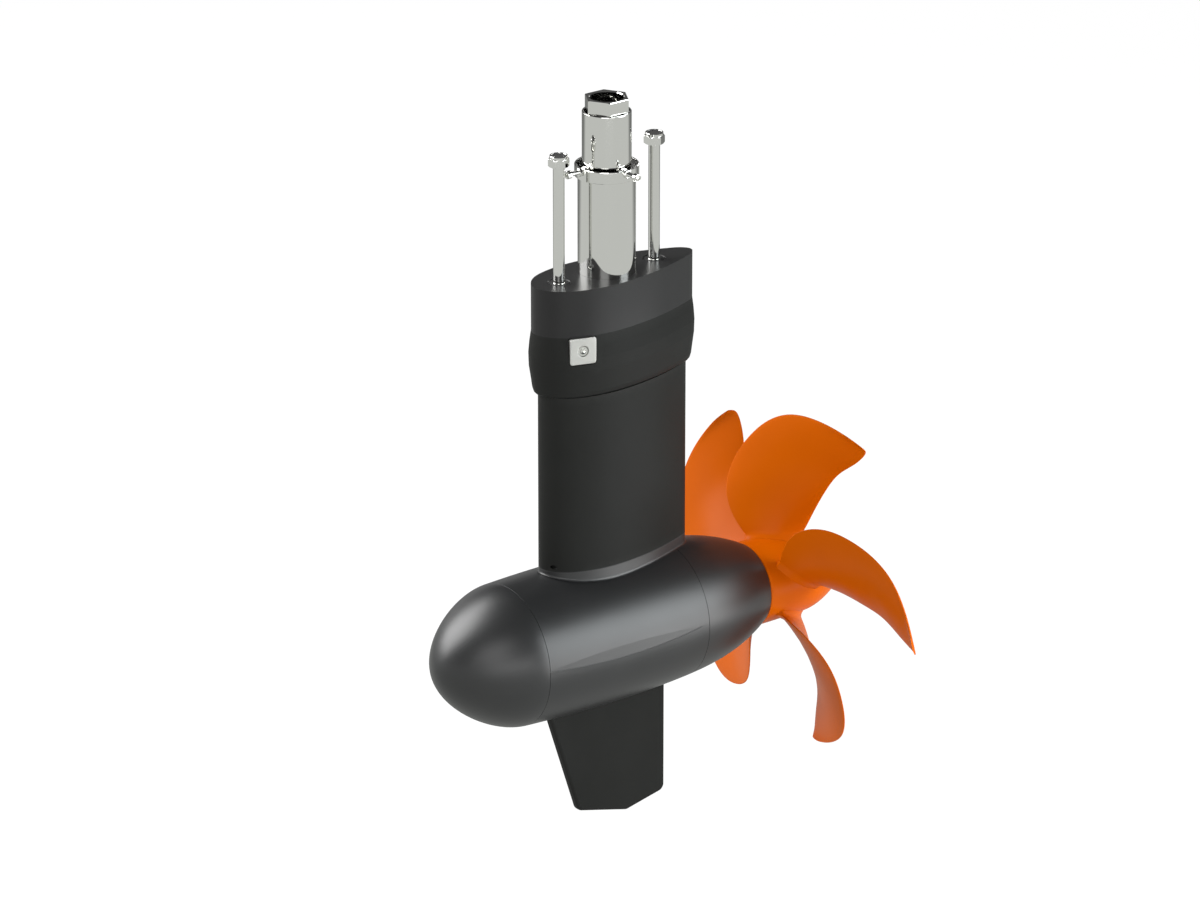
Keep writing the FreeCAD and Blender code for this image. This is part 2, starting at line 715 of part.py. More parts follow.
def seal_ring(name, middle):
    """Sealing ring in a spigot groove."""
    return ring(name, "X", "bore_radius - 2*ring_section", "bore_radius - 0.02", middle + " - ring_section",
                middle + " + ring_section", z="- axis_drop")


nose_mid = "nose_seam - 0.5*spigot_length"
tail_mid = tail_at + " + 0.5*spigot_length"
nose_spigot = spigot("nose_spigot", "nose_seam - spigot_length", "nose_seam + 2")
nose_shell = cut("nose_shell", nose_skin, nose_hollow)
nose_body = fuse("nose_body", nose_shell, nose_spigot)
parts["pod_nose"] = cut("pod_nose", nose_body, ring_groove("nose_ring_groove", nose_mid), front_groove)
parts["nose_ring"] = seal_ring("nose_ring", nose_mid)
parts["tail_ring"] = seal_ring("tail_ring", tail_mid)

# Neck under the leg, shared by the housing and the tail at their seam
neck = solid("neck_form", foil_block(*leg_size, -num("axis_drop"), skirt))
fore_slab = slab("neck_fore_slab", tail_at, "nose_seam")
aft_slab = slab("neck_aft_slab", rim_at, tail_at)

# Shallow lens-shaped flats along both sides of the housing
lens_half = num("0.5*facet_length")
lens_mid = num("nose_seam - 0.5*mid_length + facet_shift")
lens_top = num("0.5*facet_height")


def side_flat(side):
    """Cutter that leaves a straight-walled lens on one side of the pod."""
    ends = [V(lens_mid - lens_half, 0, 0), V(lens_mid + lens_half, 0, 0)]
    arcs = [Part.Arc(ends[0], V(lens_mid, 0, lens_top), ends[1]).toShape(),
            Part.Arc(ends[1], V(lens_mid, 0, -lens_top), ends[0]).toShape()]
    far = num("nose_radius") + 20
    lens = Part.Face(Part.Wire(arcs)).extrude(V(0, far, 0))
    edge = pod_curves(num("facet_depth"))[1]
    edge.rotate(V(0, 0, 0), V(1, 0, 0), -90)
    start, end = edge.Vertexes[0].Point, edge.Vertexes[-1].Point
    path = [end, V(end.x, far, 0), V(start.x, far, 0), start]
    outer = Part.Face(Part.Wire([edge, Part.makePolygon(path)])).extrude(V(0, 0, 2 * far))
    flat = lens.common(outer.translated(V(0, 0, -far)))
    flat.rotate(V(0, 0, 0), V(1, 0, 0), math.degrees(math.asin(num("facet_rise") / num("nose_radius"))))
    return flat if side > 0 else flat.mirror(V(0, 0, 0), V(0, 1, 0))


flats = [on_axis(solid("side_flat_" + word, side_flat(side))) for word, side in (("port", 1), ("star", -1))]

# Pod housing, bored through for the motor, with the duct up into the leg
housing_skin = pod_stretch("housing_skin", tail_at, "nose_seam")
housing_bore = slab("housing_bore", tail_at + " - 1", "nose_seam + 1", "bore_radius")
pod_duct = rod("pod_duct", "duct_radius", "axis_drop - leg_foot", z="- axis_drop")
housing_body = fuse("housing_body", housing_skin, common("neck_fore", neck, fore_slab))
parts["pod_housing"] = cut("pod_housing", housing_body, housing_bore, pod_duct, front_groove, back_groove,
                           *flats)

# Tail housing: gear pocket, bearing bore and seal bore
tail_skin = pod_stretch("tail_skin", rim_at, tail_at)
neck_aft = common("neck_aft", neck, aft_slab)
tail_spigot = spigot("tail_spigot", tail_at + " - 2", tail_at + " + spigot_length")
gear_back = "- gear_face - gear_width"
tail_body = fuse("tail_body", tail_skin, neck_aft, tail_spigot)
ring_pitch = "0.5*gear_module*sun_teeth + gear_module*planet_teeth"
ring_outer = ring_pitch + " + 1.25*gear_module + ring_rim"
race_end = "- race_back - race_width"
tail_cuts = [
    ring("gear_pocket", "X", "0", ring_outer + " + bond_gap", gear_back, "- gear_face + 1",
         z="- axis_drop"),
    ring("plate_pocket", "X", "0", "bore_radius - spigot_wall - 1.9", "- gear_face", tail_at + " + 20",
         z="- axis_drop"),
    ring("carrier_pocket", "X", "0", "carrier_radius + carrier_gap", "- race_front - bond_gap",
         gear_back + " + 1",
         z="- axis_drop"),
    ring("race_pocket", "X", "0", "race_radius", race_end, "- race_front + 1", z="- axis_drop"),
    ring("shaft_way", "X", "0", "shaft_radius + 1.5", rim_at + " - 1", "- race_front", z="- axis_drop"),
    ring("seal_pocket", "X", "0", "seal_radius", rim_at + " - 1", "- seal_back + seal_width",
         z="- axis_drop"),
    ring_groove("tail_ring_groove", tail_mid),
]
parts["tail_housing"] = cut("tail_housing", tail_body, *tail_cuts, seam_ring("tail_groove", tail_at,
                                                                             "seam_radius"))

# Skeg: a flat plate with rounded edges, cut to the pod's own surface
skeg_outline = [V(num("skeg_front"), 0, num("- axis_drop - 0.8*nose_radius")), V(num("skeg_toe"), 0,
                                                                                 num("- skeg_toe_drop")),
                V(num("- skeg_heel"), 0, num("- skeg_drop")), V(num("- skeg_back"), 0,
                                                                num("- skeg_back_drop")),
                V(num("- skeg_back"), 0, num("- axis_drop - 0.8*nose_radius"))]
skeg_face = Part.Face(Part.makePolygon(skeg_outline + skeg_outline[:1]))
skeg_plate = skeg_face.extrude(V(0, num("skeg_thickness"), 0)).translated(V(0, num("- 0.5*skeg_thickness"),
                                                                            0))
corners = [e for e in skeg_plate.Edges if e.BoundBox.YLength > 1 and e.BoundBox.ZMax < num("- skeg_toe_drop + 1")]
skeg_plate = skeg_plate.makeFillet(num("skeg_corner"), corners)
rims = [e for e in skeg_plate.Edges if e.BoundBox.YLength < 1e-3 and e.BoundBox.ZMin < num("- axis_drop - nose_radius")]
skeg_plate = skeg_plate.makeFillet(num("skeg_edge"), rims)
parts["skeg"] = cut("skeg", solid("skeg_plate", skeg_plate), on_axis(solid("skeg_saddle", pod_solid())))

# Motor in the housing: stator with slots, windings, rotor with magnets, shaft, end plates and bearings
SLOTS = 12
POLES = 10


def sector(inner, outer, angle, length, middle):
    """Block of a ring that spans an angle about X, centred on a direction in YZ."""
    block_form = Part.makeCylinder(outer, length, V(0, 0, 0), V(1, 0, 0), angle)
    block_form = block_form.cut(Part.makeCylinder(inner, length, V(0, 0, 0), V(1, 0, 0)))
    block_form.rotate(V(0, 0, 0), V(1, 0, 0), middle - angle / 2)
    return block_form


motor_length = num("motor_front + motor_back")
core = Part.makeCylinder(num("bore_radius - bond_gap"), motor_length, V(0, 0, 0), V(1, 0, 0))
core = core.cut(Part.makeCylinder(num("stator_bore"), motor_length, V(0, 0, 0), V(1, 0, 0)))
slot_angle = 360.0 / SLOTS * 0.56
liner_angle = math.degrees(num("slot_liner") / num("slot_root"))
mouth = num("slot_mouth")
coils = []
for k in range(SLOTS):
    turn = 360.0 / SLOTS * k
    slot = sector(num("slot_tip"), num("slot_root"), slot_angle, motor_length, turn)
    gate = Part.makeBox(motor_length, num("slot_tip") + 1.0, mouth, V(0, 0, -mouth / 2))
    gate.rotate(V(0, 0, 0), V(1, 0, 0), turn)
    core = core.cut(slot).cut(gate)
    coils.append(sector(num("slot_tip + slot_liner"), num("slot_root - slot_liner"),
                        slot_angle - 2 * liner_angle,
                        motor_length + num("2*overhang"), turn).translated(V(num("- overhang"), 0, 0)))
for start in (num("- overhang"), motor_length + num("slot_liner")):
    width = num("overhang - slot_liner")
    hoop = Part.makeCylinder(num("slot_root - slot_liner"), width, V(start, 0, 0), V(1, 0, 0))
    coils.append(hoop.cut(Part.makeCylinder(num("slot_tip + slot_liner"), width, V(start, 0, 0), V(1, 0,
                                                                                                   0))))
winding = coils[0].multiFuse(coils[1:]).removeSplitter()
parts["stator_core"] = on_axis(solid("stator_core", core), -num("motor_back"))
parts["stator_windings"] = on_axis(solid("stator_windings", winding), -num("motor_back"))
rotor_radius = "stator_bore - air_gap - magnet_thickness"
parts["rotor_core"] = ring("rotor_core", "X", "motor_shaft_radius + fit_gap", rotor_radius, "- motor_back",
                           "motor_front", z="- axis_drop")
magnets = [sector(num(rotor_radius) + num("fit_gap"), num("stator_bore - air_gap"), 360.0 / POLES * 0.86,
                  motor_length,
                  360.0 / POLES * k) for k in range(POLES)]
parts["rotor_magnets"] = on_axis(solid("rotor_magnets", Part.makeCompound(magnets)), -num("motor_back"))

plate_back = "- plate_face - bearing_width"
shield_end = "shield_front + bearing_width"
shield_disc = ring("shield_disc", "X", "bearing_radius + bond_gap", "bore_radius - bond_gap",
                   "shield_front",
                   "shield_front + shield_thickness", z="- axis_drop")
shield_boss = ring("shield_boss", "X", "bearing_radius + bond_gap", "bearing_radius + 6", "shield_front",
                   shield_end,
                   z="- axis_drop")
posts = []
for k in range(3):
    angle = math.radians(90 + 120 * k)
    y, z = num("post_circle") * math.cos(angle), num("post_circle") * math.sin(angle)
    post = rod("board_post_%d" % (k + 1), "post_radius", "board_face - shield_front", "shield_front",
               axis=V(1, 0, 0))
    post.Placement.Base = V(num("shield_front"), y, z - num("axis_drop"))
    bind(post, "Placement.Base.z", "%r - axis_drop" % round(z, 6))
    posts.append(post)
parts["end_shield"] = fuse("end_shield", shield_disc, shield_boss, *posts)
parts["gear_plate"] = ring("gear_plate", "X", "bearing_radius + bond_gap", "bore_radius - bond_gap",
                           plate_back,
                           "- plate_face", z="- axis_drop")
for word, start in (("fore", "shield_front"), ("aft", plate_back)):
    parts["motor_bearing_" + word] = ring("motor_bearing_" + word, "X", "motor_shaft_radius + fit_gap",
                                          "bearing_radius", start, start + " + bearing_width",
                                          z="- axis_drop")
board = ring("board_disc", "X", "6", "board_radius", "board_face", "board_face + board_thickness",
             z="- axis_drop")
chips = []
for k in range(4):
    angle = math.radians(45 + 90 * k)
    y, z = num("can_circle") * math.cos(angle), num("can_circle") * math.sin(angle)
    can = rod("board_can_%d" % (k + 1), "can_radius", "can_height", axis=V(1, 0, 0))
    can.Placement.Base = V(num("board_face + board_thickness - 0.5"), y, z - num("axis_drop"))
    bind(can, "Placement.Base.z", "%r - axis_drop" % round(z, 6))
    chips.append(can)
parts["control_board"] = fuse("control_board", board, *chips)

# Planetary gears
PRESSURE = math.radians(20)


def involute(angle_radius, base):
    """Involute angle at a radius."""
    if angle_radius <= base:
        return 0.0
    lean_angle = math.acos(base / angle_radius)
    return math.tan(lean_angle) - lean_angle


def tooth_wire(teeth, root, tip, slack, phase):
    """Closed toothed outline with involute flanks, one tooth centred on the phase angle."""
    pitch = teeth * num("gear_module") / 2
    base = pitch * math.cos(PRESSURE)
    start = max(root, base)
    edges = []

    def spot(radius, angle):
        return V(radius * math.cos(angle), radius * math.sin(angle), 0)

    def half_angle(radius):
        flank = involute(pitch, base) - involute(radius, base)
        return math.pi / (2 * teeth) - slack / (2 * pitch) + flank

    step = 2 * math.pi / teeth
    for k in range(teeth):
        middle = math.radians(phase) + k * step
        for sign in (-1, 1):
            low, mid, high = [spot(r, middle + sign * half_angle(r)) for r in (start, (start + tip) / 2,
                                                                               tip)]
            foot = spot(root, middle + sign * half_angle(start))
            flank = Part.Arc(low, mid, high).toShape()
            rise = [Part.makeLine(foot, low)] if start - root > 1e-6 else []
            if sign < 0:
                edges += rise + [flank, Part.Arc(high, spot(tip, middle), spot(tip,
                                                                               middle + half_angle(tip))).toShape()]
            else:
                edges += [flank] + rise
        gap_start = middle + half_angle(start)
        gap_end = middle + step - half_angle(start)
        edges.append(Part.Arc(spot(root, gap_start), spot(root, (gap_start + gap_end) / 2),
                              spot(root, gap_end)).toShape())
    return Part.Wire(Part.__sortEdges__(edges))


def gear_face_of(teeth, phase):
    module = num("gear_module")
    pitch = teeth * module / 2
    return Part.Face(tooth_wire(teeth, pitch - 1.25 * module, pitch + module, num("gear_slack"), phase))


TO_AXIS = FreeCAD.Rotation(V(1, 1, 1), 120)
sun_teeth, planet_teeth = int(num("sun_teeth")), int(num("planet_teeth"))
ring_teeth = sun_teeth + 2 * planet_teeth
width = num("gear_width")
gear_start = num("- gear_face - gear_width")


def along_axis(name, shape, x, y=0.0, z=0.0):
    """Stand a shape built along Z on the pod axis."""
    thing = solid(name, shape)
    thing.Placement = FreeCAD.Placement(V(x, y, z - num("axis_drop")), TO_AXIS)
    return thing


orbit = num("0.5*gear_module*sun_teeth + 0.5*gear_module*planet_teeth")
sun = along_axis("sun_gear", gear_face_of(sun_teeth, 90.0).extrude(V(0, 0, width)), gear_start)
shaft_bar = turned("motor_shaft_bar", "X", [
    ("- gear_face - gear_width", "0"), ("- gear_face - gear_width", "motor_shaft_radius"),
    ("shield_front + bearing_width - 1", "motor_shaft_radius"), ("shield_front + bearing_width",
                                                                 "motor_shaft_radius - 1"),
    ("shield_front + bearing_width", "0")], z="- axis_drop")
parts["motor_shaft"] = fuse("motor_shaft", shaft_bar, sun)
ring_cut = Part.Face(tooth_wire(ring_teeth, num(ring_pitch) - num("gear_module"),
                                num(ring_pitch) + 1.25 * num("gear_module"), -num("gear_slack"),
                                90.0 + 180.0 / ring_teeth))
ring_blank = Part.makeCylinder(num(ring_outer), width)
parts["ring_gear"] = along_axis("ring_gear", ring_blank.cut(ring_cut.extrude(V(0, 0, width))), gear_start)
for k in range(3):
    angle = 90.0 + 120.0 * k
    y, z = orbit * math.cos(math.radians(angle)), orbit * math.sin(math.radians(angle))
    wheel = gear_face_of(planet_teeth, angle + 180.0 / planet_teeth).extrude(V(0, 0,
                                                                               width - num("2*planet_gap")))
    wheel = wheel.cut(Part.makeCylinder(num("planet_pin + fit_gap"), width))
    parts["planet_gear_%d" % (k + 1)] = along_axis("planet_gear_%d" % (k + 1), wheel,
                                                   gear_start + num("planet_gap"),
                                                   y, z)
    length = width + num("carrier_gap + carrier_thickness")
    pin = Part.makeCylinder(num("planet_pin"), length)
    parts["planet_pin_%d" % (k + 1)] = along_axis("planet_pin_%d" % (k + 1), pin,
                                                  gear_start - num("carrier_gap + carrier_thickness"), y, z)

# Output shaft with the planet carrier, its bearings, spacer, seal, washer, drive pin and nut
hub_face = rim_at + " - hub_gap"
hub_end = hub_face + " - hub_barrel - hub_cone"
nut_seat = hub_end + " + hub_recess_depth"
carrier_front = "- gear_face - gear_width - carrier_gap"
carrier_back = carrier_front + " - carrier_thickness"
shaft_body = turned("shaft_body", "X", [
    (carrier_front, "0"), (carrier_front, "carrier_radius"), (carrier_back, "carrier_radius"),
    (carrier_back, "shaft_radius + 3"), ("- race_front + shoulder_gap", "shaft_radius + 3"),
    ("- race_front + shoulder_gap", "shaft_radius"),
    (hub_face + " + washer_thickness + 0.2", "shaft_radius"), (hub_face + " + washer_thickness + 0.2",
                                                               "hub_bore - thread_gap"),
    (nut_seat + " + 0.4", "hub_bore - thread_gap"), (nut_seat + " + 0.4", "prop_thread_radius"),
    (nut_seat + " - prop_nut_height - 2", "prop_thread_radius"), (nut_seat + " - prop_nut_height - 3",
                                                                  "prop_thread_radius - 1"),
    (nut_seat + " - prop_nut_height - 3", "0")], z="- axis_drop")
pin_holes = []
for k in range(3):
    angle = math.radians(90.0 + 120.0 * k)
    hole = Part.makeCylinder(num("planet_pin + 0.01"), num("carrier_thickness + 2"))
    pin_holes.append(along_axis("pin_hole_%d" % (k + 1), hole, num(carrier_back) - 1,
                                orbit * math.cos(angle),
                                orbit * math.sin(angle)))
cross_at = hub_face + " - pin_back"
cross_hole = rod("cross_hole", "pin_radius + 0.02", "60", cross_at, "0", "- axis_drop - 30")
parts["prop_shaft"] = cut("prop_shaft", shaft_body, cross_hole, *pin_holes)
parts["drive_pin"] = rod("drive_pin", "pin_radius", "pin_length", cross_at, "0",
                         "- axis_drop - 0.5*pin_length")
for word, start in (("fore", "- race_front - race_width"), ("aft", race_end)):
    parts["shaft_bearing_" + word] = ring("shaft_bearing_" + word, "X", "shaft_radius + fit_gap",
                                          "race_radius - bond_gap", start, start + " + race_width",
                                          z="- axis_drop")
parts["bearing_spacer"] = ring("bearing_spacer", "X", "race_radius - 5", "race_radius - bond_gap",
                               "- race_back",
                               "- race_front - race_width", z="- axis_drop")
parts["shaft_seal"] = ring("shaft_seal", "X", "shaft_radius + fit_gap", "seal_radius - bond_gap",
                           "- seal_back",
                           "- seal_back + seal_width", z="- axis_drop")
parts["thrust_washer"] = ring("thrust_washer", "X", "hub_bore + thread_gap", "washer_radius", hub_face,
                              hub_face + " + washer_thickness", z="- axis_drop")
nut_form = hexagon("prop_nut_form", "prop_nut_across", "prop_nut_height", nut_seat + " - prop_nut_height",
                   "0",
                   "- axis_drop", axis=V(1, 0, 0))
nut_bore = rod("prop_nut_bore", "prop_thread_radius + thread_gap", "prop_nut_height + 2",
               nut_seat + " - prop_nut_height - 1", "0", "- axis_drop", axis=V(1, 0, 0))
parts["prop_nut"] = cut("prop_nut", nut_form, nut_bore)

# Propeller: hub and five skewed blades
# Blade stations: share of the radius, leading and trailing edge angles, share of the radius behind the hub face
BLADE = ((0.20, 107.0, 72.0, 0.2094), (0.27, 114.0, 71.0, 0.2125), (0.39, 120.5, 70.0, 0.2188), (0.55,
                                                                                                 120.0,
                                                                                                 68.0,
                                                                                                 0.2375),
         (0.70, 112.5, 65.5, 0.2781), (0.82, 103.0, 61.5, 0.3156), (0.91, 94.5, 59.5, 0.3438), (0.96, 87.0,
                                                                                                59.0,
                                                                                                0.3625),
         (0.985, 77.5, 58.8, 0.3781), (0.997, 68.0, 58.6, 0.3906))
CHORD = (0.0, 0.3, 0.7, 1.0)


def blade_row(share, lead, trail, back, face):
    """Row of points across one face of the blade, wrapped on a cylinder about X."""
    radius = share * num("prop_radius")
    spread = math.radians(lead - trail)
    centre = math.radians(0.5 * (lead + trail) + num("blade_turn"))
    advance = num("blade_pitch") / (2 * math.pi) * spread
    arc = radius * spread
    chord = math.hypot(arc, advance)
    grow = ((1.0 - share) / (1.0 - BLADE[0][0])) ** 1.3
    thick = num("blade_tip_thickness") + (num("blade_root_thickness") - num("blade_tip_thickness")) * grow
    edge = num("blade_edge")
    spots = []
    for c in CHORD:
        bow = 4 * c * (1 - c)
        rise = 0.5 * face * (edge + (thick - edge) * bow) + num("blade_camber") * chord * bow
        along = (c - 0.5) * arc - rise * advance / chord
        ahead = (c - 0.5) * advance + rise * arc / chord
        angle = centre + along / radius
        spots.append(V(num(hub_face) - back * num("prop_radius") + ahead, radius * math.cos(angle),
                       radius * math.sin(angle)))
    return spots


def through(spots, marks):
    """Poles, knots and knot counts of a curve through points at given marks."""
    curve = Part.BSplineCurve()
    curve.interpolate(Points=spots, Parameters=marks)
    return curve.getPoles(), curve.getKnots(), curve.getMultiplicities()


def blade_face(face):
    """Smooth surface through all rows of one face."""
    rows = [blade_row(*row, face) for row in BLADE]
    marks = [0.0]
    for before, after in zip(BLADE, BLADE[1:]):
        marks.append(marks[-1] + math.hypot(after[0] - before[0],
                                            0.5 * math.radians(after[1] - before[1]) * after[0]))
    columns = [through([row[i] for row in rows], marks) for i in range(len(CHORD))]
    lines = [through([column[0][i] for column in columns], list(CHORD)) for i in range(len(columns[0][0]))]
    surface = Part.BSplineSurface()
    surface.buildFromPolesMultsKnots([line[0] for line in lines], columns[0][2], lines[0][2], columns[0][1],
                                     lines[0][1],
                                     False, False, 3, 3)
    return surface


front_skin, back_skin = blade_face(1), blade_face(-1)
low_u, high_u, low_v, high_v = front_skin.bounds()
strips = []
for way, ends in (("uIso", (low_u, high_u)), ("vIso", (low_v, high_v))):
    for at in ends:
        pair = [getattr(skin, way)(at).toShape() for skin in (front_skin, back_skin)]
        strips.append(Part.makeRuledSurface(*pair))
skin_shell = Part.makeShell([front_skin.toShape(), back_skin.toShape()] + strips)
skin_shell.sewShape()
blade = Part.makeSolid(skin_shell)
hub = turned("hub_form", "X", [
    (hub_face, "0"), (hub_face, "hub_radius - 0.8"), (hub_face + " - 0.8", "hub_radius"),
    (hub_face + " - hub_barrel", "hub_radius - 1"), (hub_face + " - hub_barrel - 0.45*hub_cone",
                                                     "hub_radius - 4.5"),
    (hub_end + " + 2", "hub_end_radius"), (hub_end, "hub_end_radius - 2"), (hub_end, "0")], z="- axis_drop")
count = int(num("blade_count"))
blades = []
for k in range(count):
    copy = blade.copy()
    copy.rotate(V(0, 0, 0), V(1, 0, 0), 360.0 / count * k)
    blades.append(on_axis(solid("blade_%d" % (k + 1), copy)))
hub_cuts = [
    ring("hub_way", "X", "0", "hub_bore", hub_end + " - 1", hub_face + " + 1", z="- axis_drop"),
    ring("hub_recess", "X", "0", "hub_recess_radius", hub_end + " - 1", nut_seat, z="- axis_drop"),
    block("hub_slot", "pin_back + pin_radius + 1", "2*pin_radius + 0.1", "pin_length + 0.4",
          hub_face + " - pin_back - pin_radius - 0.05", "- pin_radius - 0.05",
          "- axis_drop - 0.5*pin_length - 0.2"),
]
parts["propeller"] = cut("propeller", fuse("propeller_form", hub, *blades), *hub_cuts)

doc.recompute()
failed = [thing.Name for thing in doc.Objects if "Invalid" in thing.State or "Error" in thing.State]
if failed:
    raise RuntimeError("these objects did not build: " + ", ".join(failed))
os.makedirs("parts", exist_ok=True)
for name, thing in parts.items():
    shape = thing.Shape
    if shape.isNull() or not shape.isValid() or not shape.Solids:
        raise RuntimeError(name + " has no valid solid")
    thing.Label = name
    shape.exportStep("parts/" + name + ".step")
print(len(parts), "pieces written")
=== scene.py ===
import json
import math

import bpy
from mathutils import Matrix, Vector


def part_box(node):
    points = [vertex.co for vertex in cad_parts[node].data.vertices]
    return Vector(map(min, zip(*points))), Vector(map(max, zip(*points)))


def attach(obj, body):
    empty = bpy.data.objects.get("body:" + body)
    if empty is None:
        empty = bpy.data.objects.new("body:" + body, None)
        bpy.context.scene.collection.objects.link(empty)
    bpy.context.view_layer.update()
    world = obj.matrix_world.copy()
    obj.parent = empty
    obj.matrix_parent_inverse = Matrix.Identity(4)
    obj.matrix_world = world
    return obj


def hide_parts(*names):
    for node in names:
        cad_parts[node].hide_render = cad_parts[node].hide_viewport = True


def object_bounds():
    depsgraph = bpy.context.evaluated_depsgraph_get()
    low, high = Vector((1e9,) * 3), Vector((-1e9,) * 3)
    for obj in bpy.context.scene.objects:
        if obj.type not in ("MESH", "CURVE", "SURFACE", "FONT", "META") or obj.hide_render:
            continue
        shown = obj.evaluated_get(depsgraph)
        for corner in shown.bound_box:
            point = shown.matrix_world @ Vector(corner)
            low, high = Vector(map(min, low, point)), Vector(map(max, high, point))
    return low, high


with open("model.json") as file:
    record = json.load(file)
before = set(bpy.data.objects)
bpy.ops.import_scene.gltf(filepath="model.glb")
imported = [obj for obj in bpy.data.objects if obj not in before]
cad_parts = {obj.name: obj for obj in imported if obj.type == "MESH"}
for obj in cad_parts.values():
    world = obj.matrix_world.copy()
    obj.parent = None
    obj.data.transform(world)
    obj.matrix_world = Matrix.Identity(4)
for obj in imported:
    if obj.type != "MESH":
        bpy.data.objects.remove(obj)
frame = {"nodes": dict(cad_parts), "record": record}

cad_low, cad_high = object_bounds()
nodes = frame["nodes"]
slot_of = {part["node"]: part["material_slot"] for part in frame["record"]["subparts"]}

# Lengths in millimetres, turned to metres where a mesh is made
MM = 0.001
POD_AXIS = -329.6
HUB_FACE = -155.3
HUB_END = -245.3


# Camera, fitted to the photograph: right, up and back are the camera's own axes
VIEW_AZIMUTH = math.radians(142.327)
VIEW_ELEVATION = math.radians(21.0)
FOCAL_PIXELS = 6909.29
FRAME_PIXELS = 1200.0
SENSOR = 36.0
CLIP_END = 60.0
ASIDE, BELOW, AWAY = 5.724, 154.417, 5928.15

right = Vector((math.cos(VIEW_AZIMUTH), math.sin(VIEW_AZIMUTH), 0.0))
back = Vector((math.sin(VIEW_AZIMUTH) * math.cos(VIEW_ELEVATION),
               -math.cos(VIEW_AZIMUTH) * math.cos(VIEW_ELEVATION), math.sin(VIEW_ELEVATION)))
up = back.cross(right)
camera_data = bpy.data.cameras.new("camera")
camera_data.sensor_fit = "HORIZONTAL"
camera_data.sensor_width = SENSOR
camera_data.lens = FOCAL_PIXELS / FRAME_PIXELS * SENSOR
camera_data.clip_end = CLIP_END
camera = bpy.data.objects.new("camera", camera_data)
turn = Matrix((right, up, back)).transposed().to_4x4()
camera.matrix_world = Matrix.Translation((back * AWAY - right * ASIDE - up * BELOW) * MM) @ turn
bpy.context.scene.collection.objects.link(camera)
bpy.context.scene.camera = camera


# Shader node groups, each built once and used with its own values
def new_group(name, inputs, outputs):
    """Empty node group with float inputs and float outputs."""
    group = bpy.data.node_groups.new(name, "ShaderNodeTree")
    for label, value in inputs:
        socket = group.interface.new_socket(label, in_out="INPUT", socket_type="NodeSocketFloat")
        socket.default_value = value
    for label in outputs:
        group.interface.new_socket(label, in_out="OUTPUT", socket_type="NodeSocketFloat")
    return group, group.nodes.new("NodeGroupInput"), group.nodes.new("NodeGroupOutput")


def calculate(tree, operation, first, second=None, third=None):
    """Math node fed by sockets or plain numbers."""
    node = tree.nodes.new("ShaderNodeMath")
    node.operation = operation
    for index, value in enumerate((first, second, third)):
        if value is None:
            continue
        if isinstance(value, (int, float)):
            node.inputs[index].default_value = value
        else:
            tree.links.new(value, node.inputs[index])
    return node.outputs[0]


def noise(tree, place, scale, detail, stretch=None):
    """Noise value over a place, stretched along one axis if wanted."""
    if stretch:
        squeeze = tree.nodes.new("ShaderNodeVectorMath")
        squeeze.operation = "MULTIPLY"
        squeeze.inputs[1].default_value = stretch
        tree.links.new(place, squeeze.inputs[0])
        place = squeeze.outputs[0]
    node = tree.nodes.new("ShaderNodeTexNoise")
    node.inputs["Detail"].default_value = detail
    tree.links.new(place, node.inputs["Vector"])
    if isinstance(scale, (int, float)):
        node.inputs["Scale"].default_value = scale
    else:
        tree.links.new(scale, node.inputs["Scale"])
    return node.outputs["Fac"]


def coating_group():
    """Sprayed or powder coating: fine peel, slow gloss changes and faint cloudiness."""
    inputs = [("Peel Scale", 900.0), ("Gloss", 0.4), ("Gloss Spread", 0.06)]
    group, given, result = new_group("coating", inputs, ["Roughness", "Height", "Cloud"])
    place = group.nodes.new("ShaderNodeTexCoord").outputs["Object"]
    peel = noise(group, place, scale=given.outputs["Peel Scale"], detail=2.0)
    slow = noise(group, place, scale=22.0, detail=4.0)
    swing = calculate(group, "SUBTRACT", slow, 0.5)
    rough = calculate(group, "MULTIPLY_ADD", swing, given.outputs["Gloss Spread"], given.outputs["Gloss"])
    group.links.new(rough, result.inputs["Roughness"])
    group.links.new(peel, result.inputs["Height"])
    group.links.new(slow, result.inputs["Cloud"])
    return group


def brushing_group():
    """Polishing marks round a tube: thin bands along the height with slight smears."""
    inputs = [("Gloss", 0.1), ("Gloss Spread", 0.08)]
    group, given, result = new_group("polish marks", inputs, ["Roughness", "Height"])
    place = group.nodes.new("ShaderNodeTexCoord").outputs["Object"]
    bands = noise(group, place, scale=60.0, detail=3.0, stretch=(4.0, 4.0, 60.0))
    smear = noise(group, place, scale=35.0, detail=2.0)
    mixed = calculate(group, "MULTIPLY", bands, smear)
    rough = calculate(group, "MULTIPLY_ADD", mixed, given.outputs["Gloss Spread"], given.outputs["Gloss"])
    group.links.new(rough, result.inputs["Roughness"])
    group.links.new(bands, result.inputs["Height"])
    return group


def edge_highlight_group():
    """Mask of the sharp outer edges, broken up by noise, where a paler colour is painted on as a highlight.
    """
    gain, offset = 14.0, -7.6
    group, given, result = new_group("painted edge highlight", [("Amount", 0.5)], ["Mask"])
    place = group.nodes.new("ShaderNodeTexCoord").outputs["Object"]
    sharp = group.nodes.new("ShaderNodeNewGeometry").outputs["Pointiness"]
    lifted = calculate(group, "MULTIPLY_ADD", sharp, gain, offset)
    broken = calculate(group, "MULTIPLY", lifted, noise(group, place, scale=300.0, detail=3.0))
    masked = calculate(group, "MULTIPLY", broken, given.outputs["Amount"])
    masked.node.use_clamp = True
    group.links.new(masked, result.inputs["Mask"])
    return group


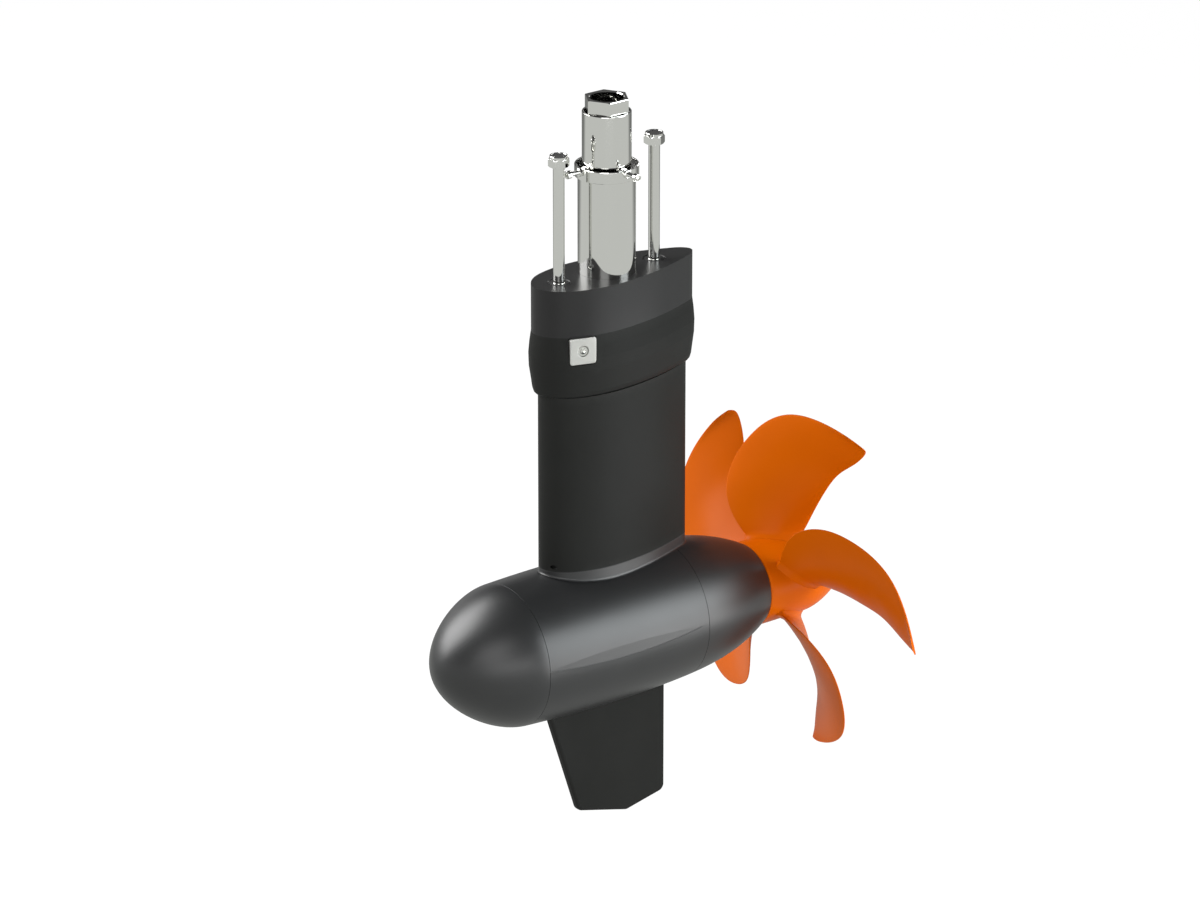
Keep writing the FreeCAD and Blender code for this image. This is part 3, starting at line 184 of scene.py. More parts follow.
def pits_group():
    """Small pits and stains of a bare cast surface."""
    group, given, result = new_group("cast pits", [("Pit Scale", 500.0)], ["Height", "Stain"])
    place = group.nodes.new("ShaderNodeTexCoord").outputs["Object"]
    cells = group.nodes.new("ShaderNodeTexVoronoi")
    group.links.new(place, cells.inputs["Vector"])
    group.links.new(given.outputs["Pit Scale"], cells.inputs["Scale"])
    group.links.new(cells.outputs["Distance"], result.inputs["Height"])
    group.links.new(noise(group, place, scale=90.0, detail=4.0), result.inputs["Stain"])
    return group


COATING = coating_group()
BRUSHING = brushing_group()
EDGE_HIGHLIGHTS = edge_highlight_group()
PITS = pits_group()


class Finish:
    """One material with its Principled shader and the groups that feed it."""

    def __init__(self, name, colour, metallic=0.0, roughness=0.5):
        self.material = bpy.data.materials.new(name)
        self.material.use_nodes = True
        self.tree = self.material.node_tree
        self.shader = self.tree.nodes["Principled BSDF"]
        self.shader.inputs["Base Color"].default_value = (*colour, 1.0)
        self.shader.inputs["Metallic"].default_value = metallic
        self.shader.inputs["Roughness"].default_value = roughness
        self.colour = colour
        self.base = None

    def group(self, group, **values):
        """Place a node group with its own values, an underscore standing for a label's space."""
        node = self.tree.nodes.new("ShaderNodeGroup")
        node.node_tree = group
        for label, value in values.items():
            node.inputs[label.replace("_", " ")].default_value = value
        return node

    def tint(self, mask, other):
        """Blend the colour towards another where the mask is high."""
        mix = self.tree.nodes.new("ShaderNodeMix")
        mix.data_type = "RGBA"
        mix.inputs["A"].default_value = (*self.colour, 1.0)
        mix.inputs["B"].default_value = (*other, 1.0)
        if self.base:
            self.tree.links.new(self.base, mix.inputs["A"])
        self.tree.links.new(mask, mix.inputs["Factor"])
        self.base = mix.outputs["Result"]
        self.tree.links.new(self.base, self.shader.inputs["Base Color"])

    def bump(self, height, distance):
        """Feed the normal from a height, with its full depth in metres."""
        node = self.tree.nodes.new("ShaderNodeBump")
        node.inputs["Distance"].default_value = distance
        node.inputs["Strength"].default_value = 1.0
        self.tree.links.new(height, node.inputs["Height"])
        self.tree.links.new(node.outputs["Normal"], self.shader.inputs["Normal"])

    def roughness(self, value):
        """Feed the roughness from a socket."""
        self.tree.links.new(value, self.shader.inputs["Roughness"])


def coated(name, colour, cloudy, gloss, spread, peel, depth, highlight_colour=None, highlight_amount=0.0):
    """Sprayed coating with fine peel and, where given, a paler colour painted along its sharp edges as a
    highlight.
    """
    finish = Finish(name, colour)
    coat = finish.group(COATING, Peel_Scale=peel, Gloss=gloss, Gloss_Spread=spread)
    finish.tint(coat.outputs["Cloud"], cloudy)
    # Where given, sharp edges are tinted paler: a painted edge highlight
    if highlight_colour:
        finish.tint(finish.group(EDGE_HIGHLIGHTS, Amount=highlight_amount).outputs["Mask"], highlight_colour)
    finish.roughness(coat.outputs["Roughness"])
    finish.bump(coat.outputs["Height"], depth)
    return finish


def polished(name, colour, gloss, spread, depth):
    """Bright metal with faint polishing marks."""
    finish = Finish(name, colour, metallic=1.0)
    marks = finish.group(BRUSHING, Gloss=gloss, Gloss_Spread=spread)
    finish.roughness(marks.outputs["Roughness"])
    finish.bump(marks.outputs["Height"], depth)
    return finish


PIT_DEPTH = 0.00006


def cast(name, colour, stain, roughness, scale=500.0):
    """Bare cast or stacked metal with pits and stains."""
    finish = Finish(name, colour, metallic=1.0, roughness=roughness)
    pits = finish.group(PITS, Pit_Scale=scale)
    finish.tint(pits.outputs["Stain"], stain)
    finish.bump(pits.outputs["Height"], PIT_DEPTH)
    return finish


LEVEL_NORMAL = 0.9
TOP_CHANGE = -0.02


def block_gloss():
    """Black moulding: satin, with a flat top that is a touch smoother than its sides."""
    finish = coated("block gloss", (0.018, 0.018, 0.018), (0.022, 0.022, 0.022), gloss=0.34, spread=0.05,
                    peel=1200.0, depth=0.00001)
    tree = finish.tree
    split = tree.nodes.new("ShaderNodeSeparateXYZ")
    tree.links.new(tree.nodes.new("ShaderNodeNewGeometry").outputs["Normal"], split.inputs[0])
    flat = calculate(tree, "GREATER_THAN", split.outputs["Z"], LEVEL_NORMAL)
    satin = finish.shader.inputs["Roughness"].links[0].from_socket
    finish.roughness(calculate(tree, "MULTIPLY_ADD", flat, TOP_CHANGE, satin))
    return finish


# One finish for each material slot, with the depths of their bumps in metres
FINISHES = {
    "adapter_black": block_gloss(),
    # The paler edge colours of the leg, pod and orange coatings are painted edge highlights
    "leg_black": coated("leg coating", (0.014, 0.0145, 0.0135), (0.018, 0.0185, 0.0175), gloss=0.44,
                        spread=0.08, peel=1500.0, depth=0.00003, highlight_colour=(0.05, 0.05, 0.048), highlight_amount=0.25),
    "pod_black": coated("pod coating", (0.012, 0.0125, 0.013), (0.016, 0.0165, 0.017), gloss=0.40,
                        spread=0.06, peel=1100.0, depth=0.000012, highlight_colour=(0.05, 0.05, 0.05), highlight_amount=0.2),
    "bright_metal": polished("polished stainless", (0.80, 0.80, 0.775), gloss=0.04, spread=0.05,
                             depth=0.000001),
    "orange": coated("orange coating", (0.55, 0.098, 0.0), (0.50, 0.086, 0.0), gloss=0.34, spread=0.06,
                     peel=1000.0, depth=0.00002, highlight_colour=(0.95, 0.27, 0.03), highlight_amount=0.3),
    "anode_metal": cast("bare anode metal", (0.48, 0.48, 0.46), (0.42, 0.42, 0.40), roughness=0.5),
    "seal_rubber": coated("seal rubber", (0.014, 0.014, 0.014), (0.022, 0.022, 0.022), gloss=0.62,
                          spread=0.1, peel=2200.0, depth=0.00003),
    "grey_plastic": coated("grey nylon", (0.05, 0.05, 0.052), (0.08, 0.08, 0.08), gloss=0.45, spread=0.1,
                           peel=1500.0, depth=0.00002),
    "machined_steel": polished("machined steel", (0.55, 0.55, 0.56), gloss=0.24, spread=0.2, depth=0.00001),
    "cast_metal": cast("cast housing metal", (0.50, 0.50, 0.50), (0.42, 0.42, 0.42), roughness=0.45),
    "core_iron": cast("stacked core sheet", (0.16, 0.16, 0.17), (0.10, 0.10, 0.11), roughness=0.5,
                      scale=1500.0),
    "winding_copper": polished("enamelled wire", (0.62, 0.24, 0.08), gloss=0.3, spread=0.2, depth=0.00004),
    "magnet_grey": cast("plated magnet", (0.42, 0.42, 0.44), (0.34, 0.34, 0.36), roughness=0.3),
    "board_green": coated("lacquered board", (0.012, 0.11, 0.04), (0.02, 0.15, 0.06), gloss=0.3, spread=0.1,
                          peel=800.0, depth=0.00001),
}

# Strength of the reflection that each coating gives besides its own colour
SHINE = {"orange": 0.06, "pod_black": 0.66, "leg_black": 0.05, "adapter_black": 0.15}
for slot, shine in SHINE.items():
    FINISHES[slot].shader.inputs["Specular IOR Level"].default_value = shine
for name, thing in nodes.items():
    material = FINISHES[slot_of[name]].material
    if not thing.material_slots:
        thing.data.materials.append(material)
    for place in thing.material_slots:
        place.material = material


# Mesh helpers. HOLD is how far inside a long side's ends the rows stand that keep its shading flat,
# BEVEL_MIDDLE the share of a bevel at which a rounded rim's middle point stands, and CORE the radius
# at which the profile of a solid turning closes on its axis
HOLD = 0.2
BEVEL_MIDDLE = 0.3
CORE = 0.01
HEX_CREASE = 24.0


def piece(name, points, faces, node, body="drive", crease=35.0, also=()):
    """Mesh in millimetres that takes a CAD node's place and finish."""
    mesh = bpy.data.meshes.new(name)
    mesh.from_pydata([Vector(p) * MM for p in points], [], faces)
    mesh.validate()
    mesh.shade_smooth()
    mesh.set_sharp_from_angle(angle=math.radians(crease))
    thing = bpy.data.objects.new(name, mesh)
    bpy.context.scene.collection.objects.link(thing)
    mesh.materials.append(FINISHES[slot_of[node]].material)
    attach(thing, body)
    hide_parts(node, *also)
    return thing


def ring_faces(rings, count, closed):
    """Quads between rings of points, the last joined to the first when closed."""
    faces = []
    for i in range(rings if closed else rings - 1):
        a, b = i * count, ((i + 1) % rings) * count
        for k in range(count):
            n = (k + 1) % count
            faces.append((a + k, a + n, b + n, b + k))
    return faces


def along(axis, out, side, height, centre):
    """Point from a radius direction and a height along Z, X or Y."""
    x, y, z = centre
    if axis == "Z":
        return (x + out, y + side, z + height)
    if axis == "X":
        return (x + height, y + out, z + side)
    return (x + side, y + height, z + out)


def held(profile):
    """Profile with extra rows near the ends of each long side, so that shading stays flat along it."""
    rows = []
    for row, after in zip(profile, profile[1:] + profile[:1]):
        rows.append(row)
        if len(row) != len(after) or (len(row) == 3 and row[0] != after[0]):
            continue
        gap = math.dist(row, after)
        if gap > 4 * HOLD:
            share = HOLD / gap
            for s in (share, 1.0 - share):
                rows.append(tuple(a + (b - a) * s for a, b in zip(row, after)))
    return rows


def turned(name, node, profile, axis="Z", centre=(0, 0, 0), body="drive", count=128, crease=35.0):
    """Closed ring profile of (radius, height) turned about an axis."""
    points = []
    profile = held(profile)
    for radius, height in profile:
        for k in range(count):
            angle = 2 * math.pi * k / count
            points.append(along(axis, radius * math.cos(angle), radius * math.sin(angle), height, centre))
    return piece(name, points, ring_faces(len(profile), count, True), node, body, crease)


def soft_tube(inner, outer, low, high, bevel):
    """Tube profile with rounded rims."""
    mid = BEVEL_MIDDLE * bevel
    return [(inner, low + bevel), (inner + mid, low + mid), (inner + bevel, low),
            (outer - bevel, low), (outer - mid, low + mid), (outer, low + bevel),
            (outer, high - bevel), (outer - mid, high - mid), (outer - bevel, high),
            (inner + bevel, high), (inner + mid, high - mid), (inner, high - bevel)]


def thread(radius, depth, pitch, low, high):
    """Rings of a thread-like ripple from low to high."""
    steps = max(1, int((high - low) / pitch))
    span = (high - low) / steps
    rows = []
    for i in range(steps):
        rows += [(radius - depth, low + i * span), (radius, low + (i + 0.5) * span)]
    return rows + [(radius - depth, high)]


def hex_radius(across, angle):
    """Distance to a hexagon's side in a direction, flat side at angle zero."""
    swing = (angle + math.pi / 6) % (math.pi / 3) - math.pi / 6
    return 0.5 * across / math.cos(swing)


def hex_piece(name, node, rows, axis, centre, turn_angle=0.0, count=144):
    """Closed rings whose outline is round, or a hexagon held inside a round limit.

    A row is (radius, height) for a round ring, or (across, limit, height) for a chamfered hexagon.
    """
    points = []
    rows = held(rows)
    for row in rows:
        for k in range(count):
            angle = 2 * math.pi * k / count
            reach = row[0] if len(row) == 2 else min(hex_radius(row[0], angle), row[1])
            swung = angle + turn_angle
            points.append(along(axis, reach * math.cos(swung), reach * math.sin(swung), row[-1], centre))
    return piece(name, points, ring_faces(len(rows), count, True), node, crease=HEX_CREASE)


# Stem tube, sliding tube and collar with rounded rims
STEM_INNER, STEM_OUTER = 22.5, 25.0
STEM_FOOT, STEM_RISE = -66.0, 87.6
SLIDE_INNER, SLIDE_OUTER, SLIDE_EASED = 19.5, 21.3, 20.7
SLIDE_FOOT, SLIDE_STEP, TUBE_TOP = 20.0, 98.3, 144.3
COLLAR_SEAT, COLLAR_INNER, COLLAR_OUTER = 25.05, 26.0, 27.8
COLLAR_FOOT, COLLAR_TOP = 86.7, 97.0
COLLAR_CHAMFER, COLLAR_BEVEL, COLLAR_MIDDLE = 0.3, 0.5, 0.15
turned("stem_tube_bright", "stem_tube", soft_tube(STEM_INNER, STEM_OUTER, STEM_FOOT, STEM_RISE, bevel=0.4))
slide = soft_tube(SLIDE_INNER, SLIDE_OUTER, SLIDE_FOOT, TUBE_TOP, bevel=0.5)
slide[3:6] = [(SLIDE_EASED, SLIDE_FOOT), (SLIDE_EASED, SLIDE_STEP), (SLIDE_OUTER, SLIDE_STEP)]
turned("slide_tube_bright", "slide_tube", slide)
collar = [(COLLAR_SEAT, COLLAR_FOOT), (COLLAR_OUTER - COLLAR_CHAMFER, COLLAR_FOOT),
          (COLLAR_OUTER, COLLAR_FOOT + COLLAR_CHAMFER), (COLLAR_OUTER, COLLAR_TOP - COLLAR_BEVEL),
          (COLLAR_OUTER - COLLAR_MIDDLE, COLLAR_TOP - COLLAR_MIDDLE),
          (COLLAR_OUTER - COLLAR_BEVEL, COLLAR_TOP), (COLLAR_INNER + COLLAR_BEVEL, COLLAR_TOP),
          (COLLAR_INNER + COLLAR_MIDDLE, COLLAR_TOP - COLLAR_MIDDLE),
          (COLLAR_INNER, COLLAR_TOP - COLLAR_BEVEL), (COLLAR_INNER, STEM_RISE), (COLLAR_SEAT, STEM_RISE)]
turned("tube_collar_bright", "tube_collar", collar)

# Gland: chamfered hexagon over the tube, with a plain bore
GLAND_TOP = TUBE_TOP + 12.2
GLAND_SEAT = TUBE_TOP + 0.05
GLAND_FOOT = TUBE_TOP - 22.0
GLAND_SHELF = GLAND_TOP - 23.0
GLAND_ACROSS, GLAND_LIMIT = 35.0, 20.2
GLAND_THROAT, GLAND_BORE, GLAND_SHANK, GLAND_FACE = 14.0, 14.5, 16.6, 17.4
gland_rows = [(GLAND_THROAT, GLAND_FOOT), (GLAND_SHANK, GLAND_FOOT), (GLAND_SHANK, GLAND_SEAT),
              (GLAND_FACE, GLAND_SEAT), (GLAND_ACROSS, GLAND_LIMIT - 0.8, GLAND_SEAT),
              (GLAND_ACROSS, GLAND_LIMIT, GLAND_SEAT + 0.65), (GLAND_ACROSS, GLAND_LIMIT, GLAND_TOP - 0.5),
              (GLAND_ACROSS - 0.4, GLAND_LIMIT - 0.4, GLAND_TOP), (GLAND_BORE + 0.8, GLAND_TOP),
              (GLAND_BORE, GLAND_TOP - 0.8), (GLAND_BORE, GLAND_SHELF + 0.1), (GLAND_THROAT, GLAND_SHELF)]
hex_piece("gland_nut_bright", "gland_nut", gland_rows, "Z", (0, 0, 0), 0.5 * math.pi)

# Hull studs with plain shanks, and lock nuts with a crown
STUD_REACH = 51.5
STUD_ROOT, STUD_BODY, STUD_ROD = 4.8, 5.6, 5.0
STUD_FOOT, STUD_STEP, STUD_TOP = -84.0, -60.0, 113.9
STUD_CHAMFER = 0.8
NUT_FOOT = 104.3
NUT_SHOULDER = NUT_FOOT + 7.6
NUT_TOP = NUT_SHOULDER + 2.6
NUT_FLOOR = NUT_TOP - 1.3
NUT_ACROSS, NUT_LIMIT, NUT_BORE = 16.0, 9.24, 5.02
CROWN_OUTER, CROWN_INNER, CROWN_BEVEL = 7.95, 6.4, 0.4
for side, x in (("fore", STUD_REACH), ("aft", -STUD_REACH)):
    stud = [(CORE, STUD_FOOT), (STUD_ROOT, STUD_FOOT), (STUD_ROOT, STUD_STEP), (STUD_BODY, STUD_STEP),
            (STUD_BODY, 0.0), (STUD_ROD, 0.0), (STUD_ROD, STUD_TOP - STUD_CHAMFER),
            (STUD_ROD - STUD_CHAMFER, STUD_TOP), (CORE, STUD_TOP)]
    turned("stud_%s_bright" % side, "stud_" + side, stud, "Z", (x, 0, 0), count=64)
    rows = [(NUT_BORE, NUT_FOOT), (7.4, NUT_FOOT), (NUT_ACROSS, 8.3, NUT_FOOT + 0.3),
            (NUT_ACROSS, NUT_LIMIT, NUT_FOOT + 0.9), (NUT_ACROSS, NUT_LIMIT, NUT_SHOULDER - 0.9),
            (NUT_ACROSS, 8.4, NUT_SHOULDER), (CROWN_OUTER, NUT_SHOULDER),
            (CROWN_OUTER, NUT_TOP - CROWN_BEVEL), (7.6, NUT_TOP), (6.6, NUT_TOP),
            (CROWN_INNER, NUT_TOP - CROWN_BEVEL), (CROWN_INNER, NUT_FLOOR), (NUT_BORE, NUT_FLOOR)]
    hex_piece("lock_nut_%s_bright" % side, "lock_nut_" + side, rows, "Z", (x, 0, 0))

# Clamp screws: plain socket heads, threaded shanks, and small hexagon nuts
CLAMP_HEIGHT = 94.7
SCREW_END, SCREW_TIP = 43.5, 20.75
SCREW_NECK = SCREW_END - 4.2
SCREW_ROD, SCREW_HEAD = 2.0, 3.6
THREAD_DEPTH, THREAD_PITCH = 0.2, 0.7
SOCKET_ACROSS, SOCKET_LIMIT, SOCKET_FLOOR = 3.2, 1.9, SCREW_END - 2.4
CLAMP_NUT_ACROSS, CLAMP_NUT_LIMIT, CLAMP_NUT_CHAMFER = 7.0, 4.04, 3.6
CLAMP_NUT_BORE, CLAMP_NUT_FACE, CLAMP_NUT_LENGTH = 2.05, 2.9, 3.2
CLAMP_NUT_STARTS = {"outer": 27.85, "inner": 22.4}
CLAMP_COUNT = 96
for side, axis in (("fore", "X"), ("port", "Y")):
    centre = (0, 0, CLAMP_HEIGHT)
    rows = [(CORE, SCREW_TIP), (1.7, SCREW_TIP)]
    rows += thread(SCREW_ROD, THREAD_DEPTH, THREAD_PITCH, SCREW_TIP + 0.5, SCREW_NECK - 0.3)
    rows += [(SCREW_ROD, SCREW_NECK), (3.3, SCREW_NECK), (SCREW_HEAD, SCREW_NECK + 0.3),
             (SCREW_HEAD, SCREW_END - 0.6), (3.3, SCREW_END - 0.1), (3.0, SCREW_END),
             (SOCKET_ACROSS, SOCKET_LIMIT, SCREW_END), (SOCKET_ACROSS, SOCKET_LIMIT, SOCKET_FLOOR),
             (CORE, SOCKET_FLOOR)]
    hex_piece("clamp_screw_%s_bright" % side, "clamp_screw_" + side, rows, axis, centre, count=CLAMP_COUNT)
    turn_angle = 0.5 * math.pi if side == "fore" else 0.0
    for word, start in CLAMP_NUT_STARTS.items():
        end = start + CLAMP_NUT_LENGTH
        rows = [(CLAMP_NUT_BORE, start), (CLAMP_NUT_FACE, start),
                (CLAMP_NUT_ACROSS, CLAMP_NUT_CHAMFER, start + 0.3),
                (CLAMP_NUT_ACROSS, CLAMP_NUT_LIMIT, start + 0.7),
                (CLAMP_NUT_ACROSS, CLAMP_NUT_LIMIT, end - 0.7),
                (CLAMP_NUT_ACROSS, CLAMP_NUT_CHAMFER, end - 0.3),
                (CLAMP_NUT_FACE, end), (CLAMP_NUT_BORE, end)]
        label = "clamp_nut_%s_%s" % (side, word)
        hex_piece(label + "_bright", label, rows, axis, centre, turn_angle, CLAMP_COUNT)


# Propeller: blades lofted through their stations with rounded edges and a fillet at the hub.
# A station is (share of the radius, leading edge's angle, trailing edge's angle, distance aft of HUB_FACE)
PROP_RADIUS = 160.0
PITCH = 340.0
BLADES = 5
BLADE = ((0.20, 107.0, 72.0, 33.5), (0.27, 114.0, 71.0, 34.0), (0.39, 120.5, 70.0, 35.0),
         (0.55, 120.0, 68.0, 38.0), (0.70, 112.5, 65.5, 44.5), (0.82, 103.0, 61.5, 50.5),
         (0.91, 94.5, 59.5, 55.0), (0.96, 87.0, 59.0, 58.0), (0.985, 77.5, 59.3, 60.5),
         (0.997, 68.0, 60.2, 62.5))
BLADE_STEPS = 60
ROOT_THICKNESS, TIP_THICKNESS, EDGE_THICKNESS = 8.5, 2.2, 1.0
THINNING = 1.3
CAMBER = 0.022
HUB_RADIUS = 38.0
FILLET, FILLET_SPREAD = 7.0, 1.1
# Where a section's points stand: over each edge's rounding, and along the chord between
EDGE_SHARES = (0.0, 0.12, 0.45, 1.0)
FACE_SHARES = (0.10, 0.22, 0.36, 0.50, 0.64, 0.78, 0.90)


def smooth_curve(marks, values):
    """Natural cubic curve through values at marks."""
    n = len(marks)
    gaps = [marks[i + 1] - marks[i] for i in range(n - 1)]
    lower, load = [0.0] * n, [0.0] * n
    for i in range(1, n - 1):
        slope = (values[i + 1] - values[i]) / gaps[i] - (values[i] - values[i - 1]) / gaps[i - 1]
        ratio = 2 * (marks[i + 1] - marks[i - 1]) - gaps[i - 1] * lower[i - 1]
        lower[i] = gaps[i] / ratio
        load[i] = (6 * slope - gaps[i - 1] * load[i - 1]) / ratio
    bend = [0.0] * n
    for i in range(n - 2, 0, -1):
        bend[i] = load[i] - lower[i] * bend[i + 1]

    def at(mark):
        i = max(j for j in range(n - 1) if marks[j] <= mark or j == 0)
        h, a, b = gaps[i], marks[i + 1] - mark, mark - marks[i]
        return ((bend[i] * a ** 3 + bend[i + 1] * b ** 3) / (6 * h) + (values[i] / h - bend[i] * h / 6) * a
                + (values[i + 1] / h - bend[i + 1] * h / 6) * b)

    return at


def blade_marks():
    """Running length from station to station, in shares of the radius."""
    marks = [0.0]
    for before, after in zip(BLADE, BLADE[1:]):
        swept = 0.5 * math.radians(after[1] - before[1]) * after[0]
        marks.append(marks[-1] + math.hypot(after[0] - before[0], swept))
    return marks


def blade_loop(share, lead, trail, back_off, turn_angle):
    """Closed loop of points round one blade section."""
    radius = share * PROP_RADIUS
    spread = math.radians(lead - trail)
    centre = math.radians(0.5 * (lead + trail)) + turn_angle
    advance = PITCH / (2 * math.pi) * spread
    arc = radius * spread
    chord = math.hypot(arc, advance)
    from_tip = (1.0 - share) / (1.0 - BLADE[0][0])
    thick = TIP_THICKNESS + (ROOT_THICKNESS - TIP_THICKNESS) * from_tip ** THINNING
    root = max(0.0, 1.0 - max(0.0, radius - HUB_RADIUS + 1.0) / FILLET) ** 2 * FILLET
    edge = min(0.5, EDGE_THICKNESS / chord)
    rounding = [edge * s for s in EDGE_SHARES]
    shares = sorted(rounding + list(FACE_SHARES) + [1 - c for c in rounding])
    trip = [(c, 1) for c in shares] + [(c, -1) for c in reversed(shares[1:-1])]
    loop = []
    for c, face in trip:
        bow = 4 * c * (1 - c)
        near = min(c, 1 - c)
        round_off = math.sqrt(max(0.0, 1 - (1 - min(1.0, near / edge)) ** 2))
        body = (EDGE_THICKNESS + (thick - EDGE_THICKNESS) * bow) * round_off
        rise = 0.5 * face * (body + FILLET_SPREAD * root * round_off)
        rise += CAMBER * chord * bow
        reach = (c - 0.5) * (1 + FILLET_SPREAD * root / chord)
        x = HUB_FACE - back_off + reach * advance + rise * arc / chord
        angle = centre + (reach * arc - rise * advance / chord) / radius
        loop.append((x, radius * math.cos(angle), POD_AXIS + radius * math.sin(angle)))
    return loop


marks = blade_marks()
station = [smooth_curve(marks, [row[i] for row in BLADE]) for i in range(4)]
spans = [marks[-1] * (i / BLADE_STEPS) for i in range(BLADE_STEPS + 1)]
blade_points, blade_faces = [], []
for k in range(BLADES):
    turn_angle = math.radians(360.0 / BLADES * k)
    loops = [blade_loop(*(curve(mark) for curve in station), turn_angle) for mark in spans]
    count = len(loops[0])
    first = len(blade_points)
    for loop in loops:
        blade_points += loop
    blade_faces += [tuple(first + v for v in face) for face in ring_faces(len(loops), count, False)]

    # The tip is closed by strips between the two faces of the last loop
    last = first + (len(loops) - 1) * count
    for i in range(count // 2):
        a, b = last + i, last + i + 1
        c, d = last + (count - i) % count, last + (count - i - 1) % count
        corners = [a, b] + ([d] if d not in (a, b) else []) + ([c] if c not in (a, b, d) else [])
        if len(corners) > 2:
            blade_faces.append(tuple(corners))
piece("propeller_blades", blade_points, blade_faces, "propeller", "screw", crease=50.0)

# Hub: a nearly straight fore stretch, an aft stretch that bends in, and a recess for the nut
HUB_BORE, HUB_RECESS, RECESS_DEPTH = 10.5, 18.0, 14.0
HUB_ROUND, HUB_LIP = 1.2, 0.6
FORE_LENGTH, FORE_DROP = 50.8, 1.0
AFT_LENGTH, AFT_DROP, AFT_BEND = 36.0, 12.5, 1.7
HUB_ROWS = 8
HUB_WAIST = HUB_FACE - HUB_ROUND - FORE_LENGTH
shares = [i / HUB_ROWS for i in range(1, HUB_ROWS + 1)]
hub = [(HUB_BORE, HUB_FACE), (HUB_RADIUS - HUB_ROUND, HUB_FACE), (HUB_RADIUS - 0.35, HUB_FACE - 0.35),
       (HUB_RADIUS, HUB_FACE - HUB_ROUND)]
hub += [(HUB_RADIUS - FORE_DROP * s ** 2, HUB_FACE - HUB_ROUND - FORE_LENGTH * s) for s in shares]
hub += [(HUB_RADIUS - FORE_DROP - AFT_DROP * s ** AFT_BEND, HUB_WAIST - AFT_LENGTH * s) for s in shares]
hub += [(23.6, HUB_END + HUB_LIP), (22.5, HUB_END), (HUB_RECESS + HUB_LIP, HUB_END),
        (HUB_RECESS, HUB_END + HUB_LIP), (HUB_RECESS, HUB_END + RECESS_DEPTH),
        (HUB_BORE, HUB_END + RECESS_DEPTH)]
turned("propeller_hub", "propeller", hub, "X", (0, 0, POD_AXIS), "screw", count=160, crease=30.0)


# Anode plate with softened edges, and its socket screw
anode_low, anode_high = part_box("anode_plate")
LEAN = math.radians(17.5)
ANODE_SIDE, ANODE_CORNER, ANODE_THICK = 24.0, 2.5, 5.0
ANODE_COUNT, ANODE_CREASE = 128, 30.0
anode_out = Vector((math.sin(LEAN), math.cos(LEAN), 0.0))
anode_along = Vector((math.cos(LEAN), -math.sin(LEAN), 0.0))
anode_face = (anode_low + anode_high) / (2 * MM) + anode_out * (0.5 * ANODE_THICK)


def rounded_square(half, corner, angle):
    """Distance from the centre to a square with rounded corners."""
    c, s = abs(math.cos(angle)), abs(math.sin(angle))
    c, s = max(c, s), min(c, s)
    flat = half / c
    core = half - corner
    if flat * s <= core:
        return flat
    middle = core * (c + s)
    return middle + math.sqrt(max(0.0, middle ** 2 - 2 * core ** 2 + corner ** 2))


def leaning(name, node, rows):
    """Rings on the anode's own face.

    A row is (radius, height), or (half side, corner, height) for a rounded square.
    """
    points = []
    for row in rows:
        for k in range(ANODE_COUNT):
            angle = 2 * math.pi * (k + 0.5) / ANODE_COUNT
            reach = row[0] if len(row) == 2 else rounded_square(row[0], row[1], angle)
            points.append(anode_face + anode_along * (reach * math.sin(angle)) + anode_out * row[-1]
                          + Vector((0, 0, reach * math.cos(angle))))
    return piece(name, points, ring_faces(len(rows), ANODE_COUNT, True), node, crease=ANODE_CREASE)


HALF = 0.5 * ANODE_SIDE
ANODE_BORE, SINK_RADIUS, SINK_FLOOR = 2.7, 4.88, -2.6
ANODE_SHANK, SHANK_END, HEAD_FOOT = 2.5, -16.3, -2.5
HEAD_FACE, SOCKET_RADIUS, SOCKET_END = -0.32, 2.2, -2.3
leaning("anode_plate_soft", "anode_plate", [
    (ANODE_BORE, -ANODE_THICK), (HALF, ANODE_CORNER, -ANODE_THICK), (HALF, ANODE_CORNER, -0.7),
    (HALF - 0.2, 2.35, -0.2), (HALF - 0.7, 1.9, 0.0), (HALF - 0.9, 1.7, 0.0), (5.5, 0.0), (5.3, 0.0),
    (5.0, -0.12), (SINK_RADIUS, -0.4), (SINK_RADIUS, SINK_FLOOR), (ANODE_BORE, SINK_FLOOR)])
leaning("anode_screw_soft", "anode_screw", [
    (CORE, SHANK_END), (ANODE_SHANK, SHANK_END), (ANODE_SHANK, HEAD_FOOT), (4.55, HEAD_FOOT), (4.6, -0.8),
    (4.2, HEAD_FACE), (4.0, HEAD_FACE), (2.9, HEAD_FACE), (2.7, HEAD_FACE), (SOCKET_RADIUS, -0.8),
    (SOCKET_RADIUS, SOCKET_END), (CORE, SOCKET_END)])

# Fillet where the neck under the leg runs into the pod. A net holds the control points (x, radius) of
# one of the pod's two curves
POD_NETS = (((110.0, 63.8), (60.0, 66.99), (-16.0, 67.798), (-66.0, 62.2)),
            ((-66.0, 62.2), (-96.0, 59.5), (-124.5, 54.7), (-154.5, 38.2)))
FILLET_NECK = 1.7
NECK_STEPS = 7
NECK_SINK = 0.4
HALVINGS = 40


def pod_radius(x):
    """Radius of the pod at a place along its axis, from the same curves as the housing."""
    net = POD_NETS[0] if x > POD_NETS[0][3][0] else POD_NETS[1]
    low_share, high_share = 0.0, 1.0
    for _ in range(HALVINGS):
        s = 0.5 * (low_share + high_share)
        weights = ((1 - s) ** 3, 3 * s * (1 - s) ** 2, 3 * s * s * (1 - s), s ** 3)
        if sum(w * p[0] for w, p in zip(weights, net)) > x:
            low_share = s
        else:
            high_share = s
    return sum(w * p[1] for w, p in zip(weights, net))


def pod_top(x, y):
    """Height of the pod's upper surface over a place."""
    return POD_AXIS + math.sqrt(pod_radius(x) ** 2 - y * y)


